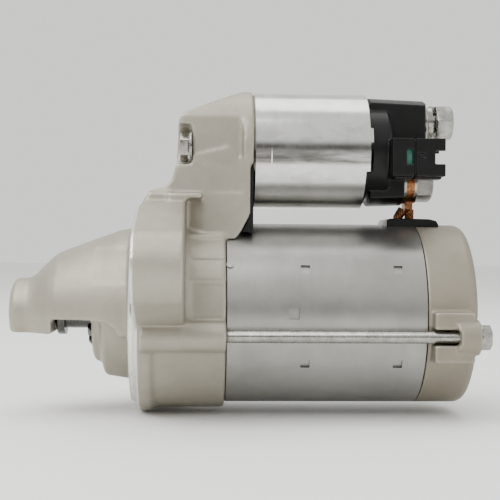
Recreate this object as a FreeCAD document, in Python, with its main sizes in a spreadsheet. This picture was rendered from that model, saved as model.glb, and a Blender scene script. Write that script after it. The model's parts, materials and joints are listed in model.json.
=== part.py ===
import FreeCAD, Part
import math
import os
import re
import Sketcher

# A planetary-reduction starter motor.
# Frame: +X runs along the armature axis from the pinion end to the rear, +Z points from that
# axis to the solenoid above it. The origin is on the armature axis, in the mounting face.
# Every driving dimension is a cell of the spreadsheet "Dims", in millimetres and degrees.

Vector = FreeCAD.Vector
doc = FreeCAD.newDocument("StarterMotor")

DIMENSIONS = {
    # drive housing
    "pilot_radius": 35.0, "pilot_length": 2.6,
    "flange_radius": 38.6, "flange_thick": 6.2,
    "barrel_radius": 37.1, "barrel_end": 33.3,
    "ear_reach": 58.0, "ear_angle": 18.2, "ear_radius": 13.5, "ear_hub": 37.0,
    "ear_thick": 18.0, "ear_hole": 5.5,
    "chamber_radius": 22.3, "chamber_front": -10.0,
    "gear_room_radius": 33.0, "gear_room_front": 21.0,
    "nose_front": -50.5, "window_front": -32.0, "window_rear": -18.6,
    "window_sill": -2.0, "nose_sill": -7.8, "pinion_room_radius": 15.6,
    "cast_wall": 3.2,
    # tower that carries the solenoid
    "solenoid_height": 63.6, "tower_front": 14.9, "tower_rear": 43.6,
    "tower_radius": 23.4, "rim_thick": 4.0, "neck_half": 24.0,
    "lever_room_half": 7.8, "screw_offset": 16.2, "screw_seat": 20.2,
    # motor
    "yoke_radius": 35.0, "yoke_wall": 3.2, "yoke_end": 107.7,
    "magnet_inner": 26.3, "magnet_front": 44.0, "magnet_length": 42.0,
    "core_radius": 25.7, "core_front": 46.0, "core_length": 38.0,
    "cover_end": 126.7, "cover_wall": 3.4,
    "bolt_reach": 37.66, "bolt_angle": 10.7, "bolt_radius": 2.3, "bolt_head_seat": 125.7,
    "bolt_head_flats": 8.0, "bolt_head_thick": 4.2,
    "slot_front": 109.2, "slot_end": 118.1,
    "commutator_front": 89.5, "commutator_length": 13.5, "commutator_radius": 15.0,
    "brush_front": 91.0, "brush_width": 10.0, "brush_thick": 6.5, "brush_length": 11.0,
    # reduction gear
    "gear_module": 1.25, "gear_front": 29.0, "gear_width": 9.0,
    "sun_teeth": 11, "planet_teeth": 16, "ring_teeth": 43,
    "carrier_front": 25.4, "carrier_thick": 3.0, "planet_pin_radius": 3.0,
    # drive shaft, clutch and pinion
    "journal_radius": 6.0, "shaft_radius": 6.5, "running_gap": 0.05,
    "pinion_teeth": 10, "pinion_module": 2.5, "pinion_front": -19.3, "pinion_width": 14.0,
    "race_radius": 11.0, "roller_radius": 2.2,
    "clutch_front": 0.5, "clutch_radius": 20.5, "clutch_rear": 12.5,
    "spline_root": 7.0, "spline_top": 8.2, "groove_end": 17.7, "sleeve_radius": 10.5,
    # shift lever
    "pivot_x": 15.1, "pivot_z": 36.5, "pivot_radius": 2.5,
    # solenoid
    "case_radius": 22.7, "case_wall": 1.6, "case_end": 89.1,
    "plunger_radius": 7.3,
    "cap_radius": 18.7, "cap_end": 97.0, "cap_flange_front": 83.6,
    "terminal_offset": 12.0, "stud_radius": 4.0,
    "battery_boss_end": 111.1, "motor_boss_end": 103.0,
    "nut_flats": 13.0, "nut_thick": 6.6,
    "socket_z": 59.8, "socket_tall": 14.3, "socket_near": 26.0, "socket_far": 13.0,
    "socket_end": 115.6, "socket_wall": 1.5,
    # motor lead
    "grommet_front": 96.8, "grommet_end": 117.0, "grommet_half": 7.5, "grommet_top": 37.4,
    "strand_radius": 1.9, "strand_spacing": 4.6, "lead_x": 104.4,
}

sheet = doc.addObject("Spreadsheet::Sheet", "Dims")
for row, (alias, value) in enumerate(DIMENSIONS.items(), start=1):
    sheet.set(f"A{row}", alias)
    sheet.set(f"B{row}", str(value))
    sheet.setAlias(f"B{row}", alias)
doc.recompute()

parts = {}


def bound(text):
    """The expression with every alias written as the sheet's."""
    return re.sub(r"[a-z_]+", lambda m: "Dims." + m.group() if m.group() in DIMENSIONS else m.group(),
                  str(text))


def size(text):
    """The value of a number or of an expression in the sheet's aliases."""
    return float(sheet.evalExpression(bound(text)))


def bind(thing, **properties):
    """Binds properties, such as Radius, to expressions. Base_x means Placement.Base.x."""
    for name, text in properties.items():
        path = name.replace("Base_", "Placement.Base.")
        thing.setExpression(path, bound(text))
    return thing


def part(label, thing):
    """Names a finished sub-part: the label is its node's name."""
    thing.Label = label
    parts[label] = thing
    return thing


def draw(sketch, points):
    """A closed outline of straight sides, each corner held by two bound distances."""
    corners = [(size(u), size(v)) for u, v in points]
    count = len(corners)
    for i, corner in enumerate(corners):
        following = corners[(i + 1) % count]
        sketch.addGeometry(Part.LineSegment(Vector(*corner, 0), Vector(*following, 0)), False)
    rules = [Sketcher.Constraint("Coincident", i, 2, (i + 1) % count, 1) for i in range(count)]
    for i, (u, v) in enumerate(corners):
        rules.append(Sketcher.Constraint("DistanceX", i, 1, u))
        rules.append(Sketcher.Constraint("DistanceY", i, 1, v))
    sketch.addConstraint(rules)
    for i, (u, v) in enumerate(points):
        sketch.setExpression(f"Constraints[{count + 2 * i}]", bound(u))
        sketch.setExpression(f"Constraints[{count + 2 * i + 1}]", bound(v))
    return sketch


def body_sketch(body, plane, points=None):
    """A sketch on one of the body's own origin planes."""
    sketch = body.newObject("Sketcher::SketchObject", body.Name + "Sketch")
    face = next(f for f in body.Origin.OriginFeatures if f.Role == plane)
    sketch.AttachmentSupport = (face, [""])
    sketch.MapMode = "FlatFace"
    if points:
        draw(sketch, points)
    return sketch


def turned(name, points, height="0"):
    """A body turned about the X axis from (x, radius) points, its axis at Z = height."""
    body = doc.addObject("PartDesign::Body", name)
    sketch = body_sketch(body, "XZ_Plane", points)
    revolution = body.newObject("PartDesign::Revolution", name + "Revolution")
    revolution.Profile = sketch
    revolution.ReferenceAxis = (sketch, ["H_Axis"])
    revolution.Angle = 360
    return bind(body, Base_z=height)


def tube(name, front, end, inner, outer, height="0"):
    """A turned ring or tube."""
    return turned(name, [(front, inner), (end, inner), (end, outer), (front, outer)], height)


def padded(name, plane, points, length, start="0", both_ways=False):
    """A body padded from an outline. On YZ the outline is (y, z) and the pad runs along +X."""
    body = doc.addObject("PartDesign::Body", name)
    sketch = body_sketch(body, plane, points)
    pad = body.newObject("PartDesign::Pad", name + "Pad")
    pad.Profile = sketch
    pad.Midplane = both_ways
    bind(pad, Length=length)
    axis = {"YZ_Plane": "Base_x", "XZ_Plane": "Base_y", "XY_Plane": "Base_z"}[plane]
    return bind(body, **{axis: start})


def rod(name, front, end, radius, y="0", z="0"):
    """A cylinder along X."""
    thing = doc.addObject("Part::Cylinder", name)
    thing.Placement.Rotation = FreeCAD.Rotation(Vector(0, 1, 0), 90)
    bind(thing, Radius=radius, Height=f"({end}) - ({front})", Base_x=front, Base_y=y, Base_z=z)
    return thing


def cross_rod(name, radius, half_length, x, z):
    """A cylinder along Y, centred on the XZ plane."""
    thing = doc.addObject("Part::Cylinder", name)
    thing.Placement.Rotation = FreeCAD.Rotation(Vector(1, 0, 0), -90)
    bind(thing, Radius=radius, Height=f"2 * ({half_length})", Base_x=x, Base_y=f"-({half_length})", Base_z=z)
    return thing


def block(name, x, y, z):
    """A box from three (low, high) pairs."""
    thing = doc.addObject("Part::Box", name)
    bind(thing, Length=f"({x[1]}) - ({x[0]})", Width=f"({y[1]}) - ({y[0]})", Height=f"({z[1]}) - ({z[0]})")
    return bind(thing, Base_x=x[0], Base_y=y[0], Base_z=z[0])


def hexagon(name, front, length, flats, y="0", z="0", turn=0):
    """A hexagonal prism along X."""
    thing = doc.addObject("Part::Prism", name)
    thing.Polygon = 6
    thing.Placement.Rotation = FreeCAD.Rotation(Vector(0, 1, 0), 90).multiply(
        FreeCAD.Rotation(Vector(0, 0, 1), turn))
    bind(thing, Circumradius=f"({flats}) / sqrt(3)", Height=length, Base_x=front, Base_y=y, Base_z=z)
    return thing


def fuse(name, *things):
    joined = doc.addObject("Part::MultiFuse", name)
    joined.Shapes = list(things)
    return joined


def cut(name, base, *tools):
    result = doc.addObject("Part::Cut", name)
    result.Base = base
    result.Tool = tools[0] if len(tools) == 1 else fuse(name + "Tools", *tools)
    return result


def common(name, *things):
    result = doc.addObject("Part::MultiCommon", name)
    result.Shapes = list(things)
    return result


def group(name, *things):
    """Separate solids that share one node."""
    compound = doc.addObject("Part::Compound", name)
    compound.Links = list(things)
    return compound


def moved_copy(name, thing, angle=0.0, y="0", z="0"):
    """The same solid again, turned about the X axis."""
    copy = doc.addObject("Part::Compound", name)
    copy.Links = [thing]
    copy.Placement.Rotation = FreeCAD.Rotation(Vector(1, 0, 0), angle)
    return bind(copy, Base_y=y, Base_z=z)


def free_shape(name, shape):
    """A shape made with Part's own functions, where no parametric feature fits."""
    thing = doc.addObject("Part::Feature", name)
    thing.Shape = shape
    return thing


# ---- gears and springs -------------------------------------------------------------------

PRESSURE_ANGLE = math.radians(25)
BACKLASH = 0.12  # taken off each tooth's thickness, mm
FLANK_STEPS = 4


def half_tooth_angle(radius, pitch_radius, teeth, thinning):
    """Half the angle that an involute tooth covers at a radius."""
    base = pitch_radius * math.cos(PRESSURE_ANGLE)
    at = math.acos(min(1.0, base / radius))
    involute = math.tan(at) - at
    pitch_involute = math.tan(PRESSURE_ANGLE) - PRESSURE_ANGLE
    return (math.pi / 2 - thinning / pitch_radius * teeth / 2) / teeth + pitch_involute - involute


def toothed_face(teeth, module, tip, root, turn=0.0, thinning=BACKLASH):
    """The outline of an external gear in the YZ plane, with a tooth centred on +Y plus turn."""
    pitch = teeth * module / 2
    base = pitch * math.cos(PRESSURE_ANGLE)
    low = max(root, base)
    radii = [low + (tip - low) * i / FLANK_STEPS for i in range(FLANK_STEPS + 1)]
    points = []
    for tooth in range(teeth):
        centre = turn + 2 * math.pi * tooth / teeth
        rising = [(r, centre - half_tooth_angle(r, pitch, teeth, thinning)) for r in radii]
        falling = [(r, 2 * centre - a) for r, a in reversed(rising)]
        foot = half_tooth_angle(low, pitch, teeth, thinning)
        if root < low:
            rising.insert(0, (root, centre - foot))
            falling.append((root, centre + foot))
        points += rising + falling
    corners = [Vector(0, r * math.cos(a), r * math.sin(a)) for r, a in points]
    return Part.Face(Part.makePolygon(corners + corners[:1]))


def disc(radius, x=0.0):
    return Part.Face(Part.Wire(Part.makeCircle(radius, Vector(x, 0, 0), Vector(1, 0, 0))))


def along_x(face, start, length):
    return face.translated(Vector(start, 0, 0)).extrude(Vector(length, 0, 0))


def coil_spring(start, length, mean_radius, wire_radius, turns):
    """An open helical compression spring along +X."""
    height = length - 2 * wire_radius
    helix = Part.makeHelix(height / turns, height, mean_radius)
    profile = Part.Wire(Part.makeCircle(wire_radius, Vector(mean_radius, 0, 0), Vector(0, 1, 0)))
    spring = Part.Wire(helix.Edges).makePipeShell([profile], True, True)
    spring.rotate(Vector(), Vector(0, 1, 0), 90)
    return spring.translated(Vector(start + wire_radius, 0, 0))


# ---- drive housing -----------------------------------------------------------------------

def bolt_side(sign):
    """Y and Z of a through bolt; sign -1 is the near one."""
    return f"{sign} * bolt_reach * cos(bolt_angle)", f"{sign} * bolt_reach * sin(bolt_angle)"


def ear(name, turn):
    """A mounting ear: one side runs out from the flange's disc, the other from beside the bolt."""
    lean = "(ear_hub - ear_radius) / ear_reach"
    rise = f"sqrt(1 - ({lean})^2)"
    hub_u, hub_v = f"ear_hub * {lean}", f"ear_hub * {rise}"
    tip_u, tip_v = f"ear_reach + ear_radius * {lean}", f"ear_radius * {rise}"
    sides = padded(name + "Sides", "YZ_Plane",
                   [("0", f"-{hub_v}"), (hub_u, f"-{hub_v}"), (tip_u, f"-{tip_v}"),
                    ("ear_reach", "ear_radius"), ("33", "16.2"), ("0", "16.5")], "ear_thick")
    tip = rod(name + "Tip", "0", "ear_thick", "ear_radius", y="ear_reach")
    return moved_copy(name, fuse(name + "Solid", sides, tip), turn)


def nose():
    """The hood over the pinion, open below, with the stepped wall of the clutch chamber."""
    hood = turned("Hood", [
        ("nose_front", "0"), ("nose_front", "4.5"), ("nose_front + 1", "9.6"),
        ("nose_front + 2", "12"), ("nose_front + 3.2", "12.9"), ("-42.5", "13.2"),
        ("-39.8", "15"), ("-36.8", "18.2"), ("-33.8", "21.2"), ("-31", "23.2"),
        ("-19.7", "27.6"), ("-7.7", "32"), ("flange_thick / 2", "33.8"), ("flange_thick / 2", "0")])
    under = block("UnderNose", ("nose_front - 5", "-1"), ("-60", "60"), ("-60", "nose_sill"))
    beside = padded("UnderWindowWalls", "XZ_Plane", [
        ("window_front", "window_sill"), ("-15.5", "window_sill"), ("-11", "window_sill - 0.9"),
        ("-7.4", "-5"), ("-4.6", "-10.2"), ("-2.4", "-13"), ("-2.4", "-60"), ("window_front", "-60")],
        "120", both_ways=True)
    steps = turned("ChamberSteps", [
        ("window_rear", "0"), ("window_rear", "9.5"), ("window_rear + 1.4", "18.2"),
        ("window_rear + 2.6", "19.3"), ("-14.6", "19.5"), ("-13.8", "20.6"), ("-13.2", "23.6"),
        ("-12.2", "24.8"), ("-4.5", "26"), ("flange_thick / 2", "26.5"), ("flange_thick / 2", "0")])
    pocket_ring = turned("PocketRing", [
        ("-15.6", "28.5"), ("-15.6", "40"), ("-3", "40"), ("-3", "32.1"), ("-7.7", "31.3")])
    pocket_slab = block("PocketSlab", ("-20", "0"), ("-45", "0"), ("11.9", "25.5"))
    pocket = common("Pocket", pocket_ring, pocket_slab)
    return fuse("Nose", cut("HoodOpen", hood, under, beside, pocket), steps)


def tower():
    """The tower behind the flange that takes the shift lever and carries the solenoid."""
    profile = [
        ("0", "20"), ("0", "38.5"), ("4.3", "46.6"), ("7.4", "47.4"), ("10.4", "48.4"),
        ("12.9", "51.2"), ("14.3", "57"), ("tower_front", "71.9"), ("tower_front + 0.9", "75.2"),
        ("tower_front + 2.2", "76.6"), ("24.9", "79.9"), ("34", "83.8"), ("40.6", "86.8"),
        ("42.6", "87"), ("tower_rear", "86.2"), ("tower_rear", "40.4"), ("39", "31.4"),
        ("barrel_end", "24"), ("barrel_end", "20")]
    side = padded("TowerSide", "XZ_Plane", profile, "2 * neck_half", both_ways=True)
    axis = "solenoid_height"
    plan = padded("TowerPlan", "XY_Plane", [
        ("-1", "neck_half - 1"), ("11", "neck_half - 1"), ("17", "17.6"), ("25", "20.7"),
        ("tower_rear + 1", "21.2"), ("tower_rear + 1", "-21.2"), ("25", "-20.7"), ("17", "-17.6"),
        ("11", "1 - neck_half"), ("-1", "1 - neck_half")], "100")
    neck_room = block("NeckRoom", ("-1", "tower_rear + 1"), ("-30", "30"), ("10", "45.9"))
    head_room = block("HeadRoom", ("-1", "tower_rear + 1"), ("-20.4", "20.4"), ("45.5", "100"))
    neck = common("Neck", side, plan, neck_room)
    crown_round = rod("CrownRound", "0", "tower_rear", "tower_radius", z=axis)
    crown_skirt = block("CrownSkirt", ("0", "tower_rear"), ("-22", "22"), ("40", axis))
    head = common("Head", side, fuse("CrownEnvelope", crown_round, crown_skirt), head_room)
    rim_round = rod("RimRound", "tower_rear - rim_thick", "tower_rear", "tower_radius", z=axis)
    rim_skirt = block("RimSkirt", ("tower_rear - rim_thick", "tower_rear"), ("-21", "21"), ("30", axis))
    rim = common("Rim", fuse("RimWhole", rim_round, rim_skirt), side)
    ribs = []
    for side_name, sign in (("Near", -1), ("Far", 1)):
        low, high = sorted((f"{sign} * 15", f"{sign} * 21.1"), key=size)
        rib = padded(side_name + "HeadRib", "XZ_Plane", [
            ("screw_seat", "59.8"), ("34", "63.2"), ("tower_rear - 2", "56"), ("tower_rear - 2", "51")],
            f"({high}) - ({low})")
        ribs.append(bind(rib, Base_y=high))
        low, high = sorted((f"{sign} * 2", f"{sign} * 24.6"), key=size)
        ribs.append(block(side_name + "NeckRidge", ("11.5", "24"), (low, high), ("43.7", "45.6")))
    return fuse("Tower", neck, head, rim, *ribs)


def housing_rooms():
    """What is hollow inside the housing."""
    axis = "solenoid_height"
    inside = turned("TrainRoom", [
        ("nose_front + 3", "0"), ("nose_front + 3", "8"), ("window_front", "8"),
        ("window_front", "pinion_room_radius"), ("chamber_front", "pinion_room_radius"),
        ("chamber_front", "chamber_radius"), ("1", "chamber_radius"), ("4", "29"),
        ("gear_room_front", "29"), ("gear_room_front", "gear_room_radius"),
        ("barrel_end + 1", "gear_room_radius"), ("barrel_end + 1", "0")])
    yoke_room = rod("YokeRoom", "barrel_end", "60", "yoke_radius + 0.4")
    lever_room = padded("LeverRoom", "XZ_Plane", [
        ("2.5", "18"), ("2.5", "34"), ("6.5", "41"), ("10", "45"), ("14.6", "49"), ("17.4", "56"),
        ("18.2", "64"), ("34", "64"), ("34", "50"), ("29", "36"), ("29", "18")],
        "2 * lever_room_half", both_ways=True)
    plug_room = block("PlugRoom", ("28", "50"), ("-13", "13"), ("35", "44"))
    plug_step = block("PlugStep", ("tower_rear - 1.2", "50"), ("-25", "25"), ("30", "57"))
    plunger_room = doc.addObject("Part::Cone", "PlungerRoom")
    plunger_room.Placement.Rotation = FreeCAD.Rotation(Vector(0, 1, 0), 90)
    bind(plunger_room, Radius1="8.6", Radius2="13", Height="tower_rear - 17", Base_x="18", Base_z=axis)
    return [inside, yoke_room, lever_room, plug_room, plug_step, plunger_room]


def housing_bores():
    """The drilled and spot-faced holes, the seal's groove and the pivot's seat."""
    axis = "solenoid_height"
    bores = []
    for name, sign in (("Near", -1), ("Far", 1)):
        y = f"{sign} * screw_offset"
        bores.append(rod(name + "ScrewHole", "10", "50", "3.2", y=y, z=axis))
        bores.append(rod(name + "HeadPocket", "10", "screw_seat", "7.2", y=y, z=axis))
        low, high = sorted((y, f"{sign} * 30"), key=size)
        gap_height = (f"{axis} - 6.8", f"{axis} + 8.4")
        bores.append(block(name + "HeadGap", ("10", "screw_seat"), (low, high), gap_height))
        y, z = bolt_side(sign)
        bores.append(rod(name + "BoltThread", "15", "barrel_end + 1", "bolt_radius", y=y, z=z))
        y, z = f"{sign} * ear_reach * cos(ear_angle)", f"{-sign} * ear_reach * sin(ear_angle)"
        bores.append(rod(name + "EarHole", "-1", "ear_thick + 1", "ear_hole", y=y, z=z))
    bores.append(tube("FrontSealGroove", "barrel_end - 1.2", "barrel_end + 1", "33.55", "34.65"))
    bores.append(cross_rod("PivotSeat", "pivot_radius", "12.5", "pivot_x", "pivot_z"))
    return bores


def barrel_recesses():
    """Shallow reliefs in the barrel's sides, with a raised band left between them."""
    recesses = []
    for name, low, high in (("Lower", "-1.5", "13.2"), ("Upper", "20.8", "29.6")):
        ring = tube(name + "RecessRing", "19.6", "barrel_end + 1", "36.1", "40")
        slab = block(name + "RecessSlab", ("15", "40"), ("-45", "0"), (low, high))
        recess = common(name + "Recess", ring, slab)
        recesses += [recess, moved_copy("Far" + name + "Recess", recess, 180)]
    return recesses


def drive_housing():
    barrel = turned("Barrel", [
        ("-pilot_length", "0"), ("-pilot_length", "pilot_radius - 0.5"),
        ("-pilot_length + 0.5", "pilot_radius"), ("0", "pilot_radius"), ("0", "flange_radius - 1"),
        ("1", "flange_radius"), ("flange_thick - 0.8", "flange_radius"),
        ("flange_thick + 0.6", "barrel_radius"), ("barrel_end - 0.7", "barrel_radius"),
        ("barrel_end", "barrel_radius - 0.7"), ("barrel_end", "0")])
    pieces = [barrel, nose(), tower()]
    pieces.append(ear("NearEar", 180 - DIMENSIONS["ear_angle"]))
    pieces.append(ear("FarEar", -DIMENSIONS["ear_angle"]))
    for name, sign in (("Near", -1), ("Far", 1)):
        y, z = bolt_side(sign)
        pieces.append(rod(name + "BoltBoss", "2", "barrel_end", "5.7", y=y, z=z))
    # the web that carries the near ear up to the tower's foot
    web = padded("EarWebSheet", "YZ_Plane", [
        ("0", "46"), ("-13", "46"), ("-59", "31"), ("-55.1", "18.1"), ("0", "10")], "ear_thick")
    web_side = padded("EarWebSide", "XZ_Plane", [
        ("0", "5"), ("0", "38.5"), ("4.3", "46.6"), ("30", "47"), ("30", "5")], "140", both_ways=True)
    pieces.append(common("EarWeb", web, web_side))
    casting = cut("Casting", fuse("HousingSolid", *pieces), *barrel_recesses())
    hollow_casting = cut("HollowCasting", casting, *housing_rooms())
    return cut("drive_housing", hollow_casting, *housing_bores())


part("drive_housing", drive_housing())
part("nose_bush", tube("nose_bush", "nose_front + 4", "window_front - 1.5",
                       "journal_radius + running_gap", "8"))

# ---- yoke, magnets and rear cover --------------------------------------------------------

def square_marks():
    """Staking squares pressed into the yoke: two rows of six, and two larger ones."""
    marks = []
    half, deep = 1.7, 1.0
    for row, x in enumerate((62.6, 97.1)):
        for i in range(6):
            if row == 1 and i == 1:
                continue  # the lead's notch is here
            mark = block(f"Mark{row}{i}", (f"{x - half}", f"{x + half}"),
                         (f"yoke_radius - {deep}", "yoke_radius + 2"), (f"-{half}", f"{half}"))
            marks.append(moved_copy(f"TurnedMark{row}{i}", mark, 30 + 60 * i))
    for i in range(2):
        mark = block(f"WideMark{i}", ("56.2", "60.2"), ("yoke_radius - 0.9", "yoke_radius + 2"),
                     ("-2", "2"))
        marks.append(moved_copy(f"TurnedWideMark{i}", mark, 178 + 180 * i))
    return marks


yoke_tube = turned("YokeTube", [
    ("barrel_end", "yoke_radius - yoke_wall"), ("yoke_end", "yoke_radius - yoke_wall"),
    ("yoke_end", "yoke_radius - 0.4"), ("yoke_end - 0.4", "yoke_radius"),
    ("barrel_end + 0.4", "yoke_radius"), ("barrel_end", "yoke_radius - 0.4")])
lead_lip = padded("LeadLip", "XZ_Plane", [
    ("grommet_front - 2.4", "yoke_radius - 1.2"), ("grommet_front - 0.7", "grommet_top - 0.4"),
    ("grommet_front - 0.1", "grommet_top - 0.4"), ("grommet_front - 0.1", "yoke_radius - 1.2")],
    "2 * grommet_half - 2", both_ways=True)
lead_notch = block("LeadNotch", ("grommet_front", "yoke_end + 1"), ("-grommet_half", "grommet_half"),
                   ("28", "yoke_radius + 5"))
locating_tab = doc.addObject("Part::Cylinder", "LocatingTab")
bind(locating_tab, Radius="1.3", Height="3", Base_x="barrel_end + 1.4", Base_z="yoke_radius - 2.4")
tab = moved_copy("TurnedTab", locating_tab, 57.5)
part("yoke", cut("yoke", fuse("YokeSolid", yoke_tube, lead_lip, tab), lead_notch, *square_marks()))


def arc_segments(name, count, cover_angle, front, length, inner, outer, first=0.0):
    """Equal ring segments about the X axis, as separate solids."""
    solids = []
    for i in range(count):
        start = first + 360.0 / count * i - cover_angle / 2
        face = disc(size(outer)).cut(disc(size(inner)))
        ring = along_x(face, size(front), size(length))
        reach = 2 * size(outer)
        half = math.radians(cover_angle / 2)
        middle = math.radians(start + cover_angle / 2)
        corners = [Vector(size(front) - 1, reach * math.cos(a), reach * math.sin(a))
                   for a in (middle - half, middle + half)]
        wedge = Part.Face(Part.makePolygon([Vector(size(front) - 1, 0, 0), *corners,
                                            Vector(size(front) - 1, 0, 0)]))
        solids.append(ring.common(wedge.extrude(Vector(size(length) + 2, 0, 0))).Solids[0])
    return free_shape(name, Part.makeCompound(solids))


part("magnets", arc_segments("magnets", 6, 48, "magnet_front", "magnet_length", "magnet_inner",
                             "yoke_radius - yoke_wall - 0.05", first=30))


def rear_cover():
    """The cup over the brushes, with a slotted boss on each side for a through bolt."""
    shell = turned("CoverShell", [
        ("yoke_end", "0"), ("cover_end", "0"), ("cover_end", "yoke_radius - 3"),
        ("cover_end - 0.5", "yoke_radius - 1.5"), ("cover_end - 1.5", "yoke_radius - 0.5"),
        ("cover_end - 3", "yoke_radius"), ("yoke_end", "yoke_radius")])
    adds, cuts = [], []
    for name, sign in (("Near", -1), ("Far", 1)):
        y, z = bolt_side(sign)
        reach = f"{sign} * 40.6"
        low, high = sorted((reach, f"{sign} * 27"), key=size)
        adds.append(block(name + "BossBlock", ("slot_front", "cover_end - 3"), (low, high),
                          (f"{z} - 9.2", f"{z} + 9.2")))
        adds.append(rod(name + "BossRound", "slot_end - 1", "bolt_head_seat", "6.6", y=y, z=z))
        cuts.append(rod(name + "BoltHole", "slot_end - 1", "cover_end + 3", "bolt_radius + 0.3", y=y, z=z))
        low, high = sorted((f"{sign} * 34.4", f"{sign} * 50"), key=size)
        cuts.append(block(name + "BoltSlot", ("yoke_end - 1", "slot_end"), (low, high),
                          (f"{z} - 2.9", f"{z} + 2.9")))
        low, high = sorted((f"{sign} * 31.6", f"{sign} * 50"), key=size)
        cuts.append(block(name + "SeatTrim", ("bolt_head_seat", "cover_end + 3"), (low, high),
                          (f"{z} - 6.8", f"{z} + 6.8")))
    inside = rod("CoverInside", "yoke_end - 1", "cover_end - cover_wall", "yoke_radius - yoke_wall")
    bush_boss = tube("BushBoss", "110", "cover_end - cover_wall + 0.5", "7", "10")
    notch = block("CoverLeadNotch", ("yoke_end - 1", "grommet_end"), ("-grommet_half", "grommet_half"),
                  ("28", "yoke_radius + 5"))
    groove = tube("RearSealGroove", "yoke_end - 1", "yoke_end + 1.2", "33.0", "34.1")
    hollow = cut("CoverHollow", fuse("CoverSolid", shell, *adds), inside, notch, groove, *cuts)
    return fuse("rear_cover", hollow, bush_boss)


part("rear_cover", rear_cover())
front_seal = tube("FrontSeal", "barrel_end - 1.2", "barrel_end", "33.6", "34.6")
rear_seal = cut("RearSeal", tube("RearSealRing", "yoke_end", "yoke_end + 1.2", "33.05", "34.05"),
                block("SealGap", ("yoke_end - 1", "yoke_end + 2"), ("-grommet_half", "grommet_half"),
                      ("28", "40")))
part("case_seals", group("case_seals", front_seal, rear_seal))
part("rear_bush", tube("rear_bush", "111", "cover_end - cover_wall - 1", "4 + running_gap", "7"))


def through_bolt(name, sign):
    y, z = bolt_side(sign)
    shank = rod(name + "Shank", "20", "bolt_head_seat + 1", "bolt_radius", y=y, z=z)
    collar = rod(name + "Collar", "bolt_head_seat", "bolt_head_seat + 0.9", "4.9", y=y, z=z)
    head = hexagon(name + "Head", "bolt_head_seat + 0.5", "bolt_head_thick - 0.5", "bolt_head_flats", y, z)
    return fuse(name, shank, collar, head)


part("through_bolts", group("through_bolts", through_bolt("NearBolt", -1), through_bolt("FarBolt", 1)))

# ---- reduction gear ----------------------------------------------------------------------

module = size("gear_module")
ADDENDUM, DEDENDUM = 0.9, 1.25
sun_pitch = size("sun_teeth") * module / 2
planet_pitch = size("planet_teeth") * module / 2
ring_pitch = size("ring_teeth") * module / 2
orbit = sun_pitch + planet_pitch


def ring_gear():
    space = toothed_face(int(size("ring_teeth")), module, ring_pitch + DEDENDUM * module,
                         ring_pitch - ADDENDUM * module, turn=math.pi / size("ring_teeth"),
                         thinning=-BACKLASH)
    ring = disc(31.3).cut(space)
    gear = along_x(ring, size("gear_front") - 0.3, size("gear_width") + 0.6)
    for i in range(6):  # keys that stop it turning in the housing
        key = Part.makeBox(4, 1.6, 5, Vector(size("gear_front") - 0.3, 31, -2.5))
        key.rotate(Vector(), Vector(1, 0, 0), 60 * i)
        gear = gear.fuse(key)
    return gear.removeSplitter()


part("ring_gear", free_shape("ring_gear", ring_gear()))


def planet_gear(index):
    """A planet in mesh with sun and ring, which both have a tooth centred on +Y."""
    teeth = int(size("planet_teeth"))
    phi = 2 * math.pi * index / 3
    turn = phi + math.pi - 2 * math.pi / teeth * (0.5 - size("sun_teeth") * phi / (2 * math.pi))
    face = toothed_face(teeth, module, planet_pitch + ADDENDUM * module,
                        planet_pitch - DEDENDUM * module, turn)
    bore = size("planet_pin_radius + running_gap")
    gear = along_x(face.cut(disc(bore)), size("gear_front"), size("gear_width"))
    return gear.translated(Vector(0, orbit * math.cos(phi), orbit * math.sin(phi)))


for index in range(3):
    part(f"planet_gear_{index + 1}", free_shape(f"planet_gear_{index + 1}", planet_gear(index)))

part("center_bracket", turned("center_bracket", [
    ("19.8", "11"), ("25", "11"), ("25", "gear_room_radius - 0.04"),
    ("gear_room_front", "gear_room_radius - 0.04"),
    ("gear_room_front", "14"), ("19.8", "14")]))
part("center_bush", tube("center_bush", "19.8", "25", "9 + running_gap", "11"))
part("armature_plate", turned("armature_plate", [
    ("39", "8.4"), ("41", "8.4"), ("41", "31.7"), ("39", "31.7")]))


def spline_bar(name, front, end, top, wide, turn):
    """One straight spline tooth or groove."""
    tooth = block(name, (front, end), (f"-{wide}", wide), ("0", top))
    return moved_copy(name + "Turned", tooth, turn)


def drive_shaft():
    """The output shaft with its splines and the planet carrier's flange."""
    bar = turned("ShaftBar", [
        ("nose_front + 4", "0"), ("nose_front + 4", "journal_radius - 0.6"),
        ("nose_front + 4.6", "journal_radius"), ("window_front - 1", "journal_radius"),
        ("window_front - 1", "shaft_radius"), ("-30.9", "shaft_radius"), ("-30.9", "5.7"), ("-29.7", "5.7"),
        ("-29.7", "shaft_radius"), ("1.5", "shaft_radius"),
        ("1.5", "spline_root"), ("19.3", "spline_root"), ("19.3", "9"), ("carrier_front", "9"),
        ("carrier_front", "22.4"), ("carrier_front + carrier_thick", "22.4"),
        ("carrier_front + carrier_thick", "4 + running_gap"), ("22.5", "4 + running_gap"), ("22.5", "0")])
    teeth = [spline_bar(f"Spline{i}", "1.5", "19.3", "spline_top", "1.6", 60 * i) for i in range(6)]
    holes = [rod(f"PinHole{i}", "carrier_front - 1", "carrier_front + carrier_thick + 1",
                 "planet_pin_radius",
                 y=f"{orbit} * cos({120 * i})", z=f"{orbit} * sin({120 * i})") for i in range(3)]
    return cut("drive_shaft", fuse("ShaftSolid", bar, *teeth), *holes)


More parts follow.
